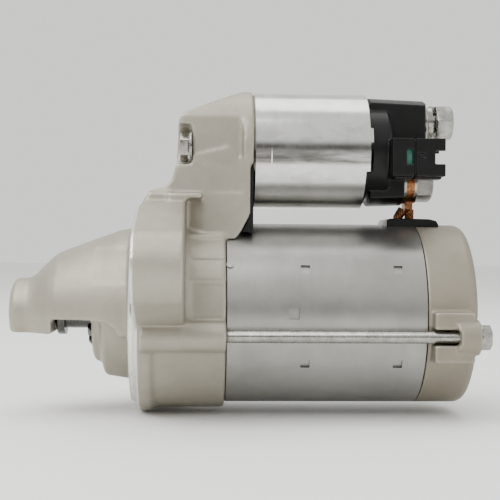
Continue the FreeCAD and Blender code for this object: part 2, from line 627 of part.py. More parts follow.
part("drive_shaft", drive_shaft())
part("planet_pins", group("planet_pins", *[
    rod(f"PlanetPin{i}", "carrier_front", "gear_front + gear_width + 0.4", "planet_pin_radius",
        y=f"{orbit} * cos({120 * i})", z=f"{orbit} * sin({120 * i})") for i in range(3)]))
part("stop_collar", turned("stop_collar", [
    ("-31.9", "shaft_radius + 0.02"), ("-31.4", "shaft_radius + 0.02"), ("-31.4", "7.4"), ("-29.6", "7.4"),
    ("-29.6", "shaft_radius + 0.02"), ("-28.6", "shaft_radius + 0.02"), ("-28.6", "9"), ("-31.2", "9"),
    ("-31.9", "8.3")]))
part("snap_ring", cut("snap_ring", tube("SnapRingWhole", "-30.8", "-29.8", "5.75", "7.2"),
                      block("SnapRingGap", ("-32", "-28"), ("-1", "1"), ("0", "10"))))

# ---- clutch and pinion -------------------------------------------------------------------

def pinion():
    """Pinion and the clutch's inner race in one piece, running on the plain part of the shaft."""
    pitch = size("pinion_teeth * pinion_module / 2")
    step = size("pinion_module")
    face = toothed_face(int(size("pinion_teeth")), step, pitch + 0.8 * step, pitch - 1.1 * step,
                        thinning=0.2)
    front, width = size("pinion_front"), size("pinion_width")
    teeth = along_x(face, front, width)
    lead_in = Part.makeCone(pitch - 0.2, pitch + 0.8 * step + 0.1, 2.4, Vector(front, 0, 0), Vector(1, 0, 0))
    full = Part.makeCylinder(pitch + step, width - 2.4, Vector(front + 2.4, 0, 0), Vector(1, 0, 0))
    teeth = teeth.common(lead_in.fuse(full))
    race_front, race_end = size("clutch_front + 1.1"), 9.8
    hub = Part.makeCylinder(9.4, race_front - front, Vector(front, 0, 0), Vector(1, 0, 0))
    race = Part.makeCylinder(size("race_radius"), race_end - race_front, Vector(race_front, 0, 0),
                             Vector(1, 0, 0))
    bore = Part.makeCylinder(size("shaft_radius + running_gap"), 60, Vector(front - 1, 0, 0),
                             Vector(1, 0, 0))
    relief = Part.makeCylinder(size("spline_top") + 0.4, 40, Vector(-7.8, 0, 0), Vector(1, 0, 0))
    return teeth.fuse([hub, race]).cut(bore.fuse(relief)).removeSplitter()


part("pinion", free_shape("pinion", pinion()))


def clutch_outer():
    """Outer race with five roller ramps, and the splined sleeve behind it."""
    race = turned("OuterRace", [
        ("clutch_front + 1", "race_radius + 0.25"), ("10", "race_radius + 0.25"), ("10", "6"),
        ("19.2", "6"), ("19.2", "sleeve_radius"), ("clutch_rear", "sleeve_radius"),
        ("clutch_rear", "clutch_radius"),
        ("clutch_front + 1", "clutch_radius")])
    tools = [rod("SleeveBore", "8", "22", "spline_root + 0.1")]
    tools += [spline_bar(f"SleeveGroove{i}", "8", "22", "spline_top + 0.15", "1.75", 60 * i)
              for i in range(6)]
    for i in range(5):
        seat = rod(f"RollerSeat{i}", "clutch_front", "10", "roller_radius + 0.12",
                   y="race_radius + roller_radius + 0.05")
        ramp = block(f"RollerRamp{i}", ("clutch_front", "10"),
                     ("race_radius - 1", "race_radius + roller_radius + 1.6"),
                     ("0", "8"))
        tools.append(moved_copy(f"RollerRoom{i}", fuse(f"RollerSpace{i}", seat, ramp), 72 * i))
    return cut("clutch_outer", race, *tools)


part("clutch_outer", clutch_outer())
part("clutch_cover", turned("clutch_cover", [
    ("clutch_front - 0.2", "9.6"), ("clutch_front + 0.9", "9.6"),
    ("clutch_front + 0.9", "clutch_radius + 0.1"), ("clutch_rear", "clutch_radius + 0.1"),
    ("clutch_rear", "clutch_radius + 0.9"), ("clutch_front + 0.4", "clutch_radius + 0.9"),
    ("clutch_front - 0.2", "clutch_radius + 0.2")]))
rollers, springs = [], []
for index in range(5):
    roller = rod(f"Roller{index}", "clutch_front + 1.2", "9.8", "roller_radius",
                 y="race_radius + roller_radius + 0.05")
    rollers.append(moved_copy(f"TurnedRoller{index}", roller, 72 * index))
    spring = coil_spring(0, 4.6, 1.15, 0.25, 4)
    spring.rotate(Vector(), Vector(0, 1, 0), -90)
    spring.translate(Vector(5.5, size("race_radius + roller_radius") + 0.05, size("roller_radius") + 0.5))
    spring.rotate(Vector(), Vector(1, 0, 0), 72 * index)
    springs.append(spring)
part("clutch_rollers", group("clutch_rollers", *rollers))
part("roller_springs", free_shape("roller_springs", Part.makeCompound(springs)))
part("shift_collar", tube("shift_collar", "groove_end", "groove_end + 1.3", "sleeve_radius", "14.2"))

# ---- shift lever -------------------------------------------------------------------------

def shift_lever():
    """A forked lever: two fingers in the clutch's groove, a tip in the plunger's slot."""
    x, z = "pivot_x", "pivot_z"
    arm = padded("LeverArm", "XZ_Plane", [
        (f"{x} - 2", "20"), (f"{x} + 2", "20"), (f"{x} + 2.6", f"{z} - 5"), (f"{x} + 4.8", f"{z} + 3"),
        ("25.2", "60"), ("24.8", "64.6"), ("22.4", "64.6"), ("21.2", "60"), (f"{x} - 1.4", f"{z} + 6"),
        (f"{x} - 3.6", f"{z} - 2")], "8", both_ways=True)
    tip = cross_rod("LeverTip", "2.5", "4", "23.8", "64.4")
    hub = cross_rod("LeverHub", "4.6", "7.4", x, z)
    hole = cross_rod("LeverHole", "pivot_radius + 0.05", "10", x, z)
    bridge = block("LeverBridge", (f"{x} - 2", f"{x} + 2"), ("-16.8", "16.8"), ("15.6", "21.5"))
    fingers = []
    for name, sign in (("Near", -1), ("Far", 1)):
        low, high = sorted((f"{sign} * 14.6", f"{sign} * 16.8"), key=size)
        fingers.append(block(name + "Finger", (f"{x} - 2", f"{x} + 2"), (low, high), ("0", "18")))
        low, high = sorted((f"{sign} * 11.2", f"{sign} * 16.8"), key=size)
        pad = doc.addObject("Part::Cylinder", name + "FingerPad")
        pad.Placement.Rotation = FreeCAD.Rotation(Vector(1, 0, 0), -90)
        fingers.append(bind(pad, Radius="2.3", Height="5.6", Base_x=x, Base_y=low, Base_z="0"))
    return cut("shift_lever", fuse("LeverSolid", arm, tip, hub, bridge, *fingers), hole)


part("shift_lever", shift_lever())
part("lever_pin", cross_rod("lever_pin", "pivot_radius", "12.4", "pivot_x", "pivot_z"))
plug_body = block("PlugBody", ("29.5", "tower_rear - 1.2"), ("-12.9", "12.9"), ("35", "43.9"))
plug_flange = padded("PlugFlange", "YZ_Plane", [
    ("-20.4", "30.6"), ("20.4", "30.6"), ("20.4", "56.9"), ("11.4", "56.9"), ("11.4", "45.5"),
    ("-11.4", "45.5"), ("-11.4", "56.9"), ("-20.4", "56.9")], "1.2", start="tower_rear - 1.2")
plug_wedge = padded("PlugWedge", "XZ_Plane", [
    ("39.3", "31.2"), ("tower_rear - 0.05", "31.2"), ("tower_rear - 0.05", "40.2")], "40.8", both_ways=True)
part("lever_plug", cut("lever_plug", fuse("PlugSolid", plug_body, plug_flange, plug_wedge),
                       rod("PlugYokeRoom", "20", "60", "yoke_radius + 0.4"),
                       cut("PlugHousingRoom",
                           block("PlugTrim", ("25", "tower_rear - 1.2"), ("-30", "30"), ("20", "70")),
                           block("PlugKeep", ("25", "60"), ("-12.9", "12.9"), ("20", "43.9")),
                           padded("PlugKeepWedge", "XZ_Plane", [
                               ("39.2", "31.2"), ("tower_rear + 1", "31.2"), ("tower_rear + 1", "42.4"),
                               ("tower_rear - 0.05", "40.6")], "60", both_ways=True))))

# ---- armature ----------------------------------------------------------------------------

def armature_shaft():
    """The shaft with the sun gear cut on its front end."""
    front, width = size("gear_front"), size("gear_width")
    teeth = along_x(toothed_face(int(size("sun_teeth")), module, sun_pitch + ADDENDUM * module,
                                 sun_pitch - DEDENDUM * module), front - 0.2, width + 0.7)
    bars = [(23.0, front - 0.2, 4.0), (front + width + 0.4, 43.0, 5.0), (43.0, 104.0, 6.0),
            (104.0, 121.0, 4.0)]
    shaft = teeth
    for begin, end, radius in bars:
        shaft = shaft.fuse(Part.makeCylinder(radius, end - begin, Vector(begin, 0, 0), Vector(1, 0, 0)))
    return shaft.removeSplitter()


part("armature_shaft", free_shape("armature_shaft", armature_shaft()))


def armature_core():
    """The laminated stack with open slots for the winding."""
    slots = 21
    face = disc(size("core_radius")).cut(disc(6.0))
    cutter = Part.makeBox(size("core_length") + 2, 11.5, 2.6, Vector(size("core_front") - 1, 13.2, -1.3))
    mouth = Part.makeBox(size("core_length") + 2, 8, 1.2, Vector(size("core_front") - 1, 20, -0.6))
    stack = along_x(face, size("core_front"), size("core_length"))
    tools = []
    for i in range(slots):
        for tool in (cutter, mouth):
            turned_tool = tool.copy()
            turned_tool.rotate(Vector(), Vector(1, 0, 0), 360.0 / slots * i)
            tools.append(turned_tool)
    return stack.cut(tools)


part("armature_core", free_shape("armature_core", armature_core()))


def armature_winding():
    """Bars in the slots, joined by a bundle at each end of the stack."""
    slots = 21
    bars = []
    length = size("core_length")
    bar = Part.makeBox(length + 4, 11.0, 2.3, Vector(size("core_front") - 2, 13.4, -1.15))
    for i in range(slots):
        turned_bar = bar.copy()
        turned_bar.rotate(Vector(), Vector(1, 0, 0), 360.0 / slots * i)
        bars.append(turned_bar)
    front_bundle = along_x(disc(24.2).cut(disc(12)), size("core_front") - 4.2, 3.6)
    rear_bundle = along_x(disc(24.2).cut(disc(12)), size("core_front") + length + 0.6, 4.4)
    return front_bundle.fuse(bars + [rear_bundle])


part("armature_winding", free_shape("armature_winding", armature_winding()))


def commutator():
    """Copper segments on a moulded hub, with a riser at the winding end."""
    segments = 21
    front, length, radius = (size(n) for n in ("commutator_front", "commutator_length", "commutator_radius"))
    barrel = along_x(disc(radius).cut(disc(6)), front, length)
    riser = along_x(disc(radius + 2.2).cut(disc(6)), front, 1.2)
    slit = Part.makeBox(length + 2, 3.6, 0.5, Vector(front - 1, radius - 1.2, -0.25))
    slits = []
    for i in range(segments):
        turned_slit = slit.copy()
        turned_slit.rotate(Vector(), Vector(1, 0, 0), 360.0 / segments * i)
        slits.append(turned_slit)
    return barrel.fuse(riser).cut(slits)


part("commutator", free_shape("commutator", commutator()))

# ---- brushes -----------------------------------------------------------------------------

def brush_holder():
    """An insulating plate with four box guides, open towards the commutator."""
    plate = along_x(disc(31.2).cut(disc(16.2)), 103.2, 2.0)
    front, width, thick = (size(n) for n in ("brush_front", "brush_width", "brush_thick"))
    wall = 1.2
    outer = Part.makeBox(103.2 - front + wall, 13.6, thick + 2 * wall + 0.2,
                         Vector(front - wall, 17.6, -thick / 2 - wall - 0.1))
    inner = Part.makeBox(width + 0.2, 13.0, thick + 0.2, Vector(front - 0.1, 17.0, -thick / 2 - 0.1))
    lead_way = Part.makeBox(4, 9, 15, Vector(102, 24, -7.5))
    shape = plate.cut([lead_way])
    lead_way.rotate(Vector(), Vector(1, 0, 0), 90)
    shape = shape.cut(lead_way)
    for i in range(4):
        guide = outer.cut(inner)
        guide.rotate(Vector(), Vector(1, 0, 0), 45 + 90 * i)
        shape = shape.fuse(guide)
    return shape.removeSplitter()


part("brush_holder", free_shape("brush_holder", brush_holder()))
spring_set = []
for index in range(4):
    angle = 45 + 90 * index
    inner_end = size("commutator_radius + 0.02")
    brush = Part.makeBox(size("brush_width"), size("brush_length"), size("brush_thick"),
                         Vector(size("brush_front"), inner_end, -size("brush_thick") / 2))
    curve = Part.makeCylinder(inner_end, size("brush_width") + 2, Vector(size("brush_front") - 1, 0, 0),
                              Vector(1, 0, 0))
    brush = Part.makeBox(size("brush_width"), size("brush_length") + 1, size("brush_thick"),
                         Vector(size("brush_front"), inner_end - 1, -size("brush_thick") / 2)).cut(curve)
    brush.rotate(Vector(), Vector(1, 0, 0), angle)
    part(f"brush_{index + 1}", free_shape(f"brush_{index + 1}", brush))
    spring = coil_spring(0, 3.7, 2.1, 0.3, 3.5)
    spring.rotate(Vector(), Vector(0, 0, 1), 90)
    spring.translate(Vector(size("brush_front + brush_width / 2"),
                            size("commutator_radius + brush_length") + 0.15, 0))
    spring.rotate(Vector(), Vector(1, 0, 0), angle)
    spring_set.append(spring)
part("brush_springs", free_shape("brush_springs", Part.makeCompound(spring_set)))

# ---- solenoid ----------------------------------------------------------------------------

axis = "solenoid_height"
case = turned("CaseShell", [
    ("tower_rear", "8.4"), ("tower_rear + 5", "8.4"), ("tower_rear + 5", "case_radius - case_wall"),
    ("cap_flange_front + 3.9", "case_radius - case_wall"), ("cap_flange_front + 3.9", "cap_radius + 0.3"),
    ("case_end - 0.5", "cap_radius + 0.3"), ("case_end", "cap_radius + 1"),
    ("case_end", "case_radius - 1.2"), ("case_end - 1.2", "case_radius"),
    ("tower_rear + 0.8", "case_radius"), ("tower_rear", "case_radius - 0.8")],
    height=axis)
case_cuts = [rod(n + "CaseThread", "tower_rear - 1", "tower_rear + 6", "3", y=f"{s} * screw_offset", z=axis)
             for n, s in (("Near", -1), ("Far", 1))]
# the rolled edge stands proud at the sides and is pressed back over the terminals' bosses
for name, deep, low, high in (("Top", "1.3", "7.5", "25"), ("Bottom", "2.7", "-25", "-9")):
    case_cuts.append(block(name + "Relief", (f"case_end - {deep}", "case_end + 1"), ("-25", "25"),
                           (f"{axis} + {low}", f"{axis} + {high}")))
part("solenoid_case", cut("solenoid_case", case, *case_cuts))
part("solenoid_core", turned("solenoid_core", [
    ("77.4", "5.3"), ("80.4", "5.3"), ("80.4", "1.8"), ("cap_flange_front", "1.8"),
    ("cap_flange_front", "case_radius - case_wall"), ("79.6", "case_radius - case_wall"),
    ("79.6", "plunger_radius"),
    ("77.4", "plunger_radius")], height=axis))
part("coil_bobbin", turned("coil_bobbin", [
    ("tower_rear + 5", "plunger_radius + 0.1"), ("79.6", "plunger_radius + 0.1"),
    ("79.6", "case_radius - case_wall - 0.3"), ("78.4", "case_radius - case_wall - 0.3"), ("78.4", "8.8"),
    ("tower_rear + 6.2", "8.8"), ("tower_rear + 6.2", "case_radius - case_wall - 0.3"),
    ("tower_rear + 5", "case_radius - case_wall - 0.3")], height=axis))
pull_in_coil = tube("PullInCoil", "tower_rear + 6.3", "78.3", "8.85", "14.4", height=axis)
hold_in_coil = tube("HoldInCoil", "tower_rear + 6.3", "78.3", "14.45", "20.2", height=axis)
part("solenoid_coils", group("solenoid_coils", pull_in_coil, hold_in_coil))


def plunger():
    """Iron plunger with a slotted hook for the lever and a pocket for its return spring."""
    bar = turned("PlungerBar", [
        ("19.6", "0"), ("19.6", "5.3"), ("20.4", "6"), ("39", "6"), ("40", "plunger_radius"),
        ("69.8", "plunger_radius"),
        ("69.8", "5.3"), ("60", "5.3"), ("60", "0")], height=axis)
    slot = block("HookSlot", ("21", "26.7"), ("-4.4", "4.4"), ("55", "75"))
    lip_trim = block("HookLipTrim", ("18", "22"), ("-4.4", "4.4"), ("55", "62"))
    return cut("plunger", bar, slot, lip_trim)


part("plunger", plunger())
part("plunger_spring", free_shape("plunger_spring", coil_spring(60.1, 20.2, 4.2, 0.55, 8).translated(
    Vector(0, 0, size(axis)))))
part("contact_plate", turned("contact_plate", [
    ("64.2", "0"), ("64.2", "1.6"), ("88", "1.6"), ("88", "15.5"), ("89.8", "15.5"), ("89.8", "3"),
    ("90.6", "3"),
    ("90.6", "0")], height=axis))
part("contact_spring", free_shape("contact_spring", coil_spring(89.9, 5.7, 3.6, 0.35, 3).translated(
    Vector(0, 0, size(axis)))))


def solenoid_cap():
    """The moulded cap with a boss for each terminal stud and the plug's socket."""
    z = "solenoid_height"
    shell = turned("CapShell", [
        ("cap_flange_front", "16.5"), ("94.6", "16.5"), ("94.6", "4.4"), ("95.8", "4.4"), ("95.8", "0"),
        ("cap_end", "0"), ("cap_end", "cap_radius - 1.2"), ("cap_end - 1.2", "cap_radius"),
        ("cap_flange_front + 3.8", "cap_radius"),
        ("cap_flange_front + 3.8", "case_radius - case_wall - 0.1"),
        ("cap_flange_front", "case_radius - case_wall - 0.1")], height=z)
    envelope = turned("CapEnvelope", [
        ("case_end + 0.2", "0"), ("case_end + 0.2", "21.4"), ("battery_boss_end", "20.6"),
        ("battery_boss_end", "0")], height=z)
    battery = common("BatteryBoss", envelope, block("BatteryBlock", ("case_end + 0.2", "battery_boss_end"),
                                                    ("-10.5", "10.5"), (f"{z} + 3.6", f"{z} + 22")))
    motor = common("MotorBoss", envelope, block("MotorBlock", ("case_end + 0.2", "motor_boss_end"),
                                                ("-10.5", "10.5"), (f"{z} - 22", f"{z} - 3.6")))
    front_z, top_z = "socket_z - socket_tall / 2", "socket_z + socket_tall / 2"
    base = block("SocketBase", ("95.6", "104.1"), ("-socket_near", "-socket_far + 3.5"), (front_z, top_z))
    shroud = block("SocketShroud", ("104.1", "socket_end"), ("-socket_near", "-socket_far"),
                   (front_z, top_z))
    rail = block("SocketRail", ("97", "114.6"), ("-socket_near + 3", "-socket_far - 3"),
                 (f"{front_z} - 0.9", f"{front_z} + 0.1"))
    solid = fuse("CapSolid", shell, battery, motor, base, shroud, rail)
    cuts = [rod("CapCavity", "cap_flange_front - 1", "94.6", "16.5", z=z),
            rod("SpringPocket", "94", "95.8", "4.4", z=z),
            rod("BatteryBore", "90", "115", "stud_radius + running_gap", z=f"{z} + terminal_offset"),
            rod("MotorBore", "90", "115", "stud_radius + running_gap", z=f"{z} - terminal_offset"),
            block("SocketMouth", ("100.6", "socket_end + 1"),
                  ("-socket_near + socket_wall", "-socket_far - socket_wall"),
                  (f"{front_z} + socket_wall", f"{top_z} - socket_wall")),
            block("LatchNotch", ("111.7", "socket_end + 1"), ("-socket_near - 1", "-socket_far + 1"),
                  ("socket_z - 2.5", "socket_z + 2.5")),
            block("SealWindow", ("100.9", "103.1"), ("-socket_near - 1", "-socket_near + 1.9"),
                  ("socket_z - 2.8", "socket_z + 3")),
            block("LatchDimple", ("105.2", "108"), ("-socket_near - 1", "-socket_near + 0.7"),
                  ("socket_z - 0.4", "socket_z + 1.5")),
            block("BladeSlot", ("97.5", "103"), ("-19.9", "-19.1"), ("socket_z - 3.15", "socket_z + 3.15"))]
    ring = cut("SocketRing", block("RingOuter", ("103.7", "104.6"), ("-socket_near - 1", "-socket_far + 1"),
                                   (f"{front_z} - 2", f"{top_z} + 2")),
               block("RingInner", ("103", "105"), ("-socket_near + 0.6", "-socket_far + 2"),
                     (f"{front_z} + 0.6", f"{top_z} - 0.6")))
    return cut("solenoid_cap", solid, ring, *cuts)


part("solenoid_cap", solenoid_cap())
part("socket_blade", block("socket_blade", ("97.6", "112"), ("-19.9", "-19.1"),
                           ("socket_z - 3.15", "socket_z + 3.15")))
seal_outer = block("SealOuter", ("100.6", "103.6"),
                   ("-socket_near + socket_wall", "-socket_far - socket_wall"),
                   ("socket_z - socket_tall / 2 + socket_wall", "socket_z + socket_tall / 2 - socket_wall"))
seal_inner = block("SealInner", ("99", "105"), ("-22.4", "-16.6"), ("socket_z - 4.6", "socket_z + 4.6"))
part("socket_seal", cut("socket_seal", seal_outer, seal_inner))


def terminal_stud(name, sign, end):
    """A copper bolt whose square head is the fixed contact inside the cap."""
    z = f"solenoid_height {'+' if sign > 0 else '-'} terminal_offset"
    low, high = sorted((f"solenoid_height + {sign} * 4.8", f"solenoid_height + {sign} * 15.4"), key=size)
    head = common(name + "Head", block(name + "HeadBlock", ("92.4", "94.6"), ("-6.5", "6.5"), (low, high)),
                  rod(name + "HeadRound", "92", "95", "16.2", z="solenoid_height"))
    return fuse(name, head, rod(name + "Shank", "94", end, "stud_radius", z=z))


part("battery_stud", terminal_stud("battery_stud", 1, "battery_boss_end + 12"))
part("motor_stud", terminal_stud("motor_stud", -1, "motor_boss_end + 11.2"))


def hex_nut(name, front, z, turn):
    """A chamfered hexagon nut."""
    prism = hexagon(name + "Prism", front, "nut_thick", "nut_flats", z=z, turn=turn)
    corner = "nut_flats / sqrt(3)"
    form = turned(name + "Form", [
        (front, "0"), (front, f"{corner} - 0.4"), (f"{front} + 0.4", corner),
        (f"{front} + nut_thick - 1", corner), (f"{front} + nut_thick", f"{corner} - 1.4"),
        (f"{front} + nut_thick", "0")], height=z)
    return cut(name, common(name + "Blank", prism, form), rod(name + "Bore", f"{front} - 1", f"{front} + 10",
                                                             "stud_radius", z=z))


def washer(name, front, end, outer, z):
    return tube(name, front, end, "stud_radius + 0.2", outer, height=z)


battery_z = "solenoid_height + terminal_offset"
motor_z = "solenoid_height - terminal_offset"
part("battery_washer", washer("battery_washer", "battery_boss_end", "battery_boss_end + 1.5", "8.2",
                              battery_z))


def lock_washer(front, height, z):
    """A split spring washer, its ends sprung apart."""
    thick, radius, width = 1.9, 5.6, 2.4
    rise = height - thick - 0.1
    helix = Part.makeHelix(rise * 360 / 350, rise, radius)
    half, tall = width / 2, thick / 2
    corners = [Vector(radius + a, 0, b)
               for a, b in ((-half, -tall), (half, -tall), (half, tall), (-half, tall))]
    ring = Part.Wire(helix.Edges).makePipeShell([Part.makePolygon(corners + corners[:1])], True, True)
    ring.rotate(Vector(), Vector(0, 1, 0), 90)
    ring.rotate(Vector(), Vector(1, 0, 0), 215)
    return ring.translated(Vector(front + thick / 2 + 0.05, 0, z))


part("battery_lock_washer", free_shape("battery_lock_washer", lock_washer(
    size("battery_boss_end + 1.5"), 3.9, size(battery_z))))
part("battery_nut", hex_nut("battery_nut", "battery_boss_end + 5.4", battery_z, 30))
lug_front = "motor_boss_end + 1.4"
inner_washer = washer("InnerWasher", "motor_boss_end", lug_front, "8.4", motor_z)
outer_washer = washer("OuterWasher", "motor_boss_end + 4.4", "motor_boss_end + 5.6", "8.2", motor_z)
part("motor_washers", group("motor_washers", inner_washer, outer_washer))
part("motor_nut", hex_nut("motor_nut", "motor_boss_end + 5.6", motor_z, 12))


def solenoid_screw(name, sign):
    y = f"{sign} * screw_offset"
    shank = rod(name + "Shank", "screw_seat - 1", "tower_rear + 5", "3", y=y, z=axis)
    collar = turned(name + "Collar", [
        ("screw_seat - 1.6", "0"), ("screw_seat - 1.6", "5.2"), ("screw_seat - 0.7", "6.6"),
        ("screw_seat", "6.6"), ("screw_seat", "0")], height=axis)
    bind(collar, Base_y=y)
    head = hexagon(name + "Head", "screw_seat - 4.4", "4", "10", y, axis, turn=8)
    return fuse(name, shank, collar, head)


part("solenoid_screws", group("solenoid_screws", solenoid_screw("NearScrew", -1),
                              solenoid_screw("FarScrew", 1)))

# ---- motor lead --------------------------------------------------------------------------

lug_ring = tube("LugRing", lug_front, f"{lug_front} + 3", "stud_radius + 0.2", "8.2", height=motor_z)
lug_tail = block("LugTail", (lug_front, f"{lug_front} + 3"), ("-3.4", "3.4"), ("41.2", "45"))
part("lead_lug", fuse("lead_lug", lug_ring, lug_tail))


def lead_strand(sign):
    """One strand: from the lug down through the grommet, then forward under the yoke."""
    radius = size("strand_radius")
    x = size("lead_x") + sign * size("strand_spacing") / 2
    turn_radius, bottom, front = 3.4, 27.5, 94.5
    joint = Vector(x, 0, 37.9)
    top = Vector(size(lug_front) + 1.5 + sign * 0.9, 0, 42.6)
    lean = Part.makeCylinder(radius, (top - joint).Length, joint, top - joint)
    knee = Part.makeSphere(radius, joint)
    drop = Part.makeLine(joint, Vector(x, 0, bottom + turn_radius))
    centre_x, centre_z = x - turn_radius, bottom + turn_radius
    middle = Vector(centre_x + turn_radius * math.cos(math.pi / 4), 0,
                    centre_z - turn_radius * math.sin(math.pi / 4))
    bend = Part.Arc(Vector(x, 0, centre_z), middle, Vector(centre_x, 0, bottom)).toShape()
    run = Part.makeLine(Vector(centre_x, 0, bottom), Vector(front, 0, bottom))
    profile = Part.Wire(Part.makeCircle(radius, joint, Vector(0, 0, 1)))
    return Part.Wire([drop, bend, run]).makePipeShell([profile], True, False).fuse([knee, lean])


lug_room = Part.makeBox(20, 20, 10, Vector(size("lead_x") - 10, -10, 41.2))
strands = lead_strand(-1).fuse(lead_strand(1)).cut(lug_room).removeSplitter()
part("motor_lead", free_shape("motor_lead", strands))
grommet_top = padded("GrommetTop", "XZ_Plane", [
    ("grommet_front", "33"), ("grommet_front", "grommet_top - 0.9"),
    ("grommet_front + 1", "grommet_top - 0.1"),
    ("grommet_front + 6", "grommet_top"), ("grommet_end - 3.5", "grommet_top - 0.2"),
    ("grommet_end - 0.8", "grommet_top - 0.9"), ("grommet_end", "yoke_radius + 0.2"), ("grommet_end", "33")],
    "2 * grommet_half - 0.1", both_ways=True)
grommet_stem = block("GrommetStem", ("grommet_front + 0.05", "grommet_end - 0.05"),
                     ("-grommet_half + 0.05", "grommet_half - 0.05"), ("32", "34"))
holes = []
for index, sign in enumerate((-1, 1)):
    hole = doc.addObject("Part::Cylinder", f"StrandHole{index}")
    holes.append(bind(hole, Radius="strand_radius + 0.05", Height="12", Base_z="28",
                      Base_x=f"lead_x + {sign} * strand_spacing / 2"))
part("lead_grommet", cut("lead_grommet", fuse("GrommetSolid", grommet_top, grommet_stem), *holes))

# ---- check and write ---------------------------------------------------------------------

doc.recompute()
failed = [thing.Label for thing in doc.Objects if {"Invalid", "Error"} & set(thing.State)]
if failed:
    raise SystemExit(f"these objects failed: {failed}")
os.makedirs("parts", exist_ok=True)
for label, thing in parts.items():
    shape = thing.Shape
    if shape.isNull() or not shape.isValid() or not shape.Solids:
        raise SystemExit(f"{label} has no valid solid")
    shape.exportStep(f"parts/{label}.step")
print(f"{len(parts)} sub-parts written")
for label, thing in parts.items():
    print(f"{label:22s} solids {len(thing.Shape.Solids):2d}  volume {thing.Shape.Volume:10.1f}")
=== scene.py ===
import bpy
import bmesh
import json
import math
from mathutils import Matrix, Vector

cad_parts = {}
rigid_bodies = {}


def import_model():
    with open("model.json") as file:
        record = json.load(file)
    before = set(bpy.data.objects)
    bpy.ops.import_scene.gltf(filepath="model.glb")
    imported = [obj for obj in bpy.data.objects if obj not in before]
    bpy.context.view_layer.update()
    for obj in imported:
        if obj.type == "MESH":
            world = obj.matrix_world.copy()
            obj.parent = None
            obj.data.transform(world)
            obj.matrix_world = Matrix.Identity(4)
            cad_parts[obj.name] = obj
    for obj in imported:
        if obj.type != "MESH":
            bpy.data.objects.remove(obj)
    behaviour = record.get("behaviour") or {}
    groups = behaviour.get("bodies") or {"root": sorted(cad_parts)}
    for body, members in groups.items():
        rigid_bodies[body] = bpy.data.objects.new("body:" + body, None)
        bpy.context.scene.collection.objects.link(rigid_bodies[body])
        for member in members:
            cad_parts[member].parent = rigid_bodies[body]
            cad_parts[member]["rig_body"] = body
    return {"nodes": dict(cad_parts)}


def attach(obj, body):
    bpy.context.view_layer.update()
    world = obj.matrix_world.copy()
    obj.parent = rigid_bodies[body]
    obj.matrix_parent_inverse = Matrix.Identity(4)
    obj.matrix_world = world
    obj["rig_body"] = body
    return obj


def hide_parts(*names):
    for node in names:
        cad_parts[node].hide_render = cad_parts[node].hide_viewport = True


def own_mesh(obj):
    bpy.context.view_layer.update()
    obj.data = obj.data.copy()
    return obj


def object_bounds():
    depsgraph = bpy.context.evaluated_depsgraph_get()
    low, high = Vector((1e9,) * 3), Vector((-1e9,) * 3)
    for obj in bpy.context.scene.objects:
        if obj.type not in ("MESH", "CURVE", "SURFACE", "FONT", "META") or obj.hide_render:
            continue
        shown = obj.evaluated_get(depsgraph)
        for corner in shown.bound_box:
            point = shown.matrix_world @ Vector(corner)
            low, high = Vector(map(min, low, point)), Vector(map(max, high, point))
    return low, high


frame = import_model()
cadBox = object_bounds()
mm = 0.001
weldDistance = 1e-6
print("frame loaded,", len(frame["nodes"]), "nodes")


def linear(hexText):
    # sRGB hex to a linear colour
    channels = [int(hexText[i:i + 2], 16) / 255 for i in (1, 3, 5)]
    return [c / 12.92 if c <= 0.04045 else ((c + 0.055) / 1.055) ** 2.4 for c in channels] + [1.0]


def addNode(tree, kind, settings=None, inputs=None):
    # one node, its settings, and its inputs: a socket is linked, anything else is a value
    node = tree.nodes.new(kind)
    for key, value in (settings or {}).items():
        setattr(node, key, value)
    for key, value in (inputs or {}).items():
        if isinstance(value, bpy.types.NodeSocket):
            tree.links.new(value, node.inputs[key])
        else:
            node.inputs[key].default_value = value
    return node


def startFinish(name, shaderInputs):
    # a material with its shader, and Object coordinates in metres
    material = bpy.data.materials.new(name)
    material.use_nodes = True
    tree = material.node_tree
    tree.nodes.clear()
    shader = addNode(tree, "ShaderNodeBsdfPrincipled", inputs=shaderInputs)
    addNode(tree, "ShaderNodeOutputMaterial", inputs={"Surface": shader.outputs[0]})
    place = addNode(tree, "ShaderNodeTexCoord").outputs["Object"]
    return material, tree, shader, place


def blendColours(tree, amount, first, second):
    mix = addNode(tree, "ShaderNodeMix", {"data_type": "RGBA"}, {0: amount, 6: first, 7: second})
    return mix.outputs[2]


def grainNoise(tree, place, size, stretch=(1, 1, 1), detail=3.0, shift=(0, 0, 0)):
    # noise whose lumps are about size across, drawn out along the axes with a low stretch
    scaled = addNode(tree, "ShaderNodeMapping", inputs={"Vector": place, "Location": shift,
                                                        "Scale": [s / size for s in stretch]})
    noise = addNode(tree, "ShaderNodeTexNoise", inputs={"Vector": scaled.outputs[0], "Scale": 1.0,
                                                        "Detail": detail, "Roughness": 0.55})
    return noise.outputs["Fac"]


def remap(tree, value, low, high, toLow, toHigh):
    ranged = addNode(tree, "ShaderNodeMapRange", {"interpolation_type": "SMOOTHSTEP"},
                     {0: value, 1: low, 2: high, 3: toLow, 4: toHigh})
    return ranged.outputs[0]


def aroundAxis(tree, place):
    # how far along the armature axis a point is, and how far from it
    parts = addNode(tree, "ShaderNodeSeparateXYZ", inputs={0: place})
    across = {0: parts.outputs[1], 1: parts.outputs[2]}
    flat = addNode(tree, "ShaderNodeCombineXYZ", inputs=across)
    reach = addNode(tree, "ShaderNodeVectorMath", {"operation": "LENGTH"}, {0: flat.outputs[0]})
    return parts.outputs[0], reach.outputs[1]


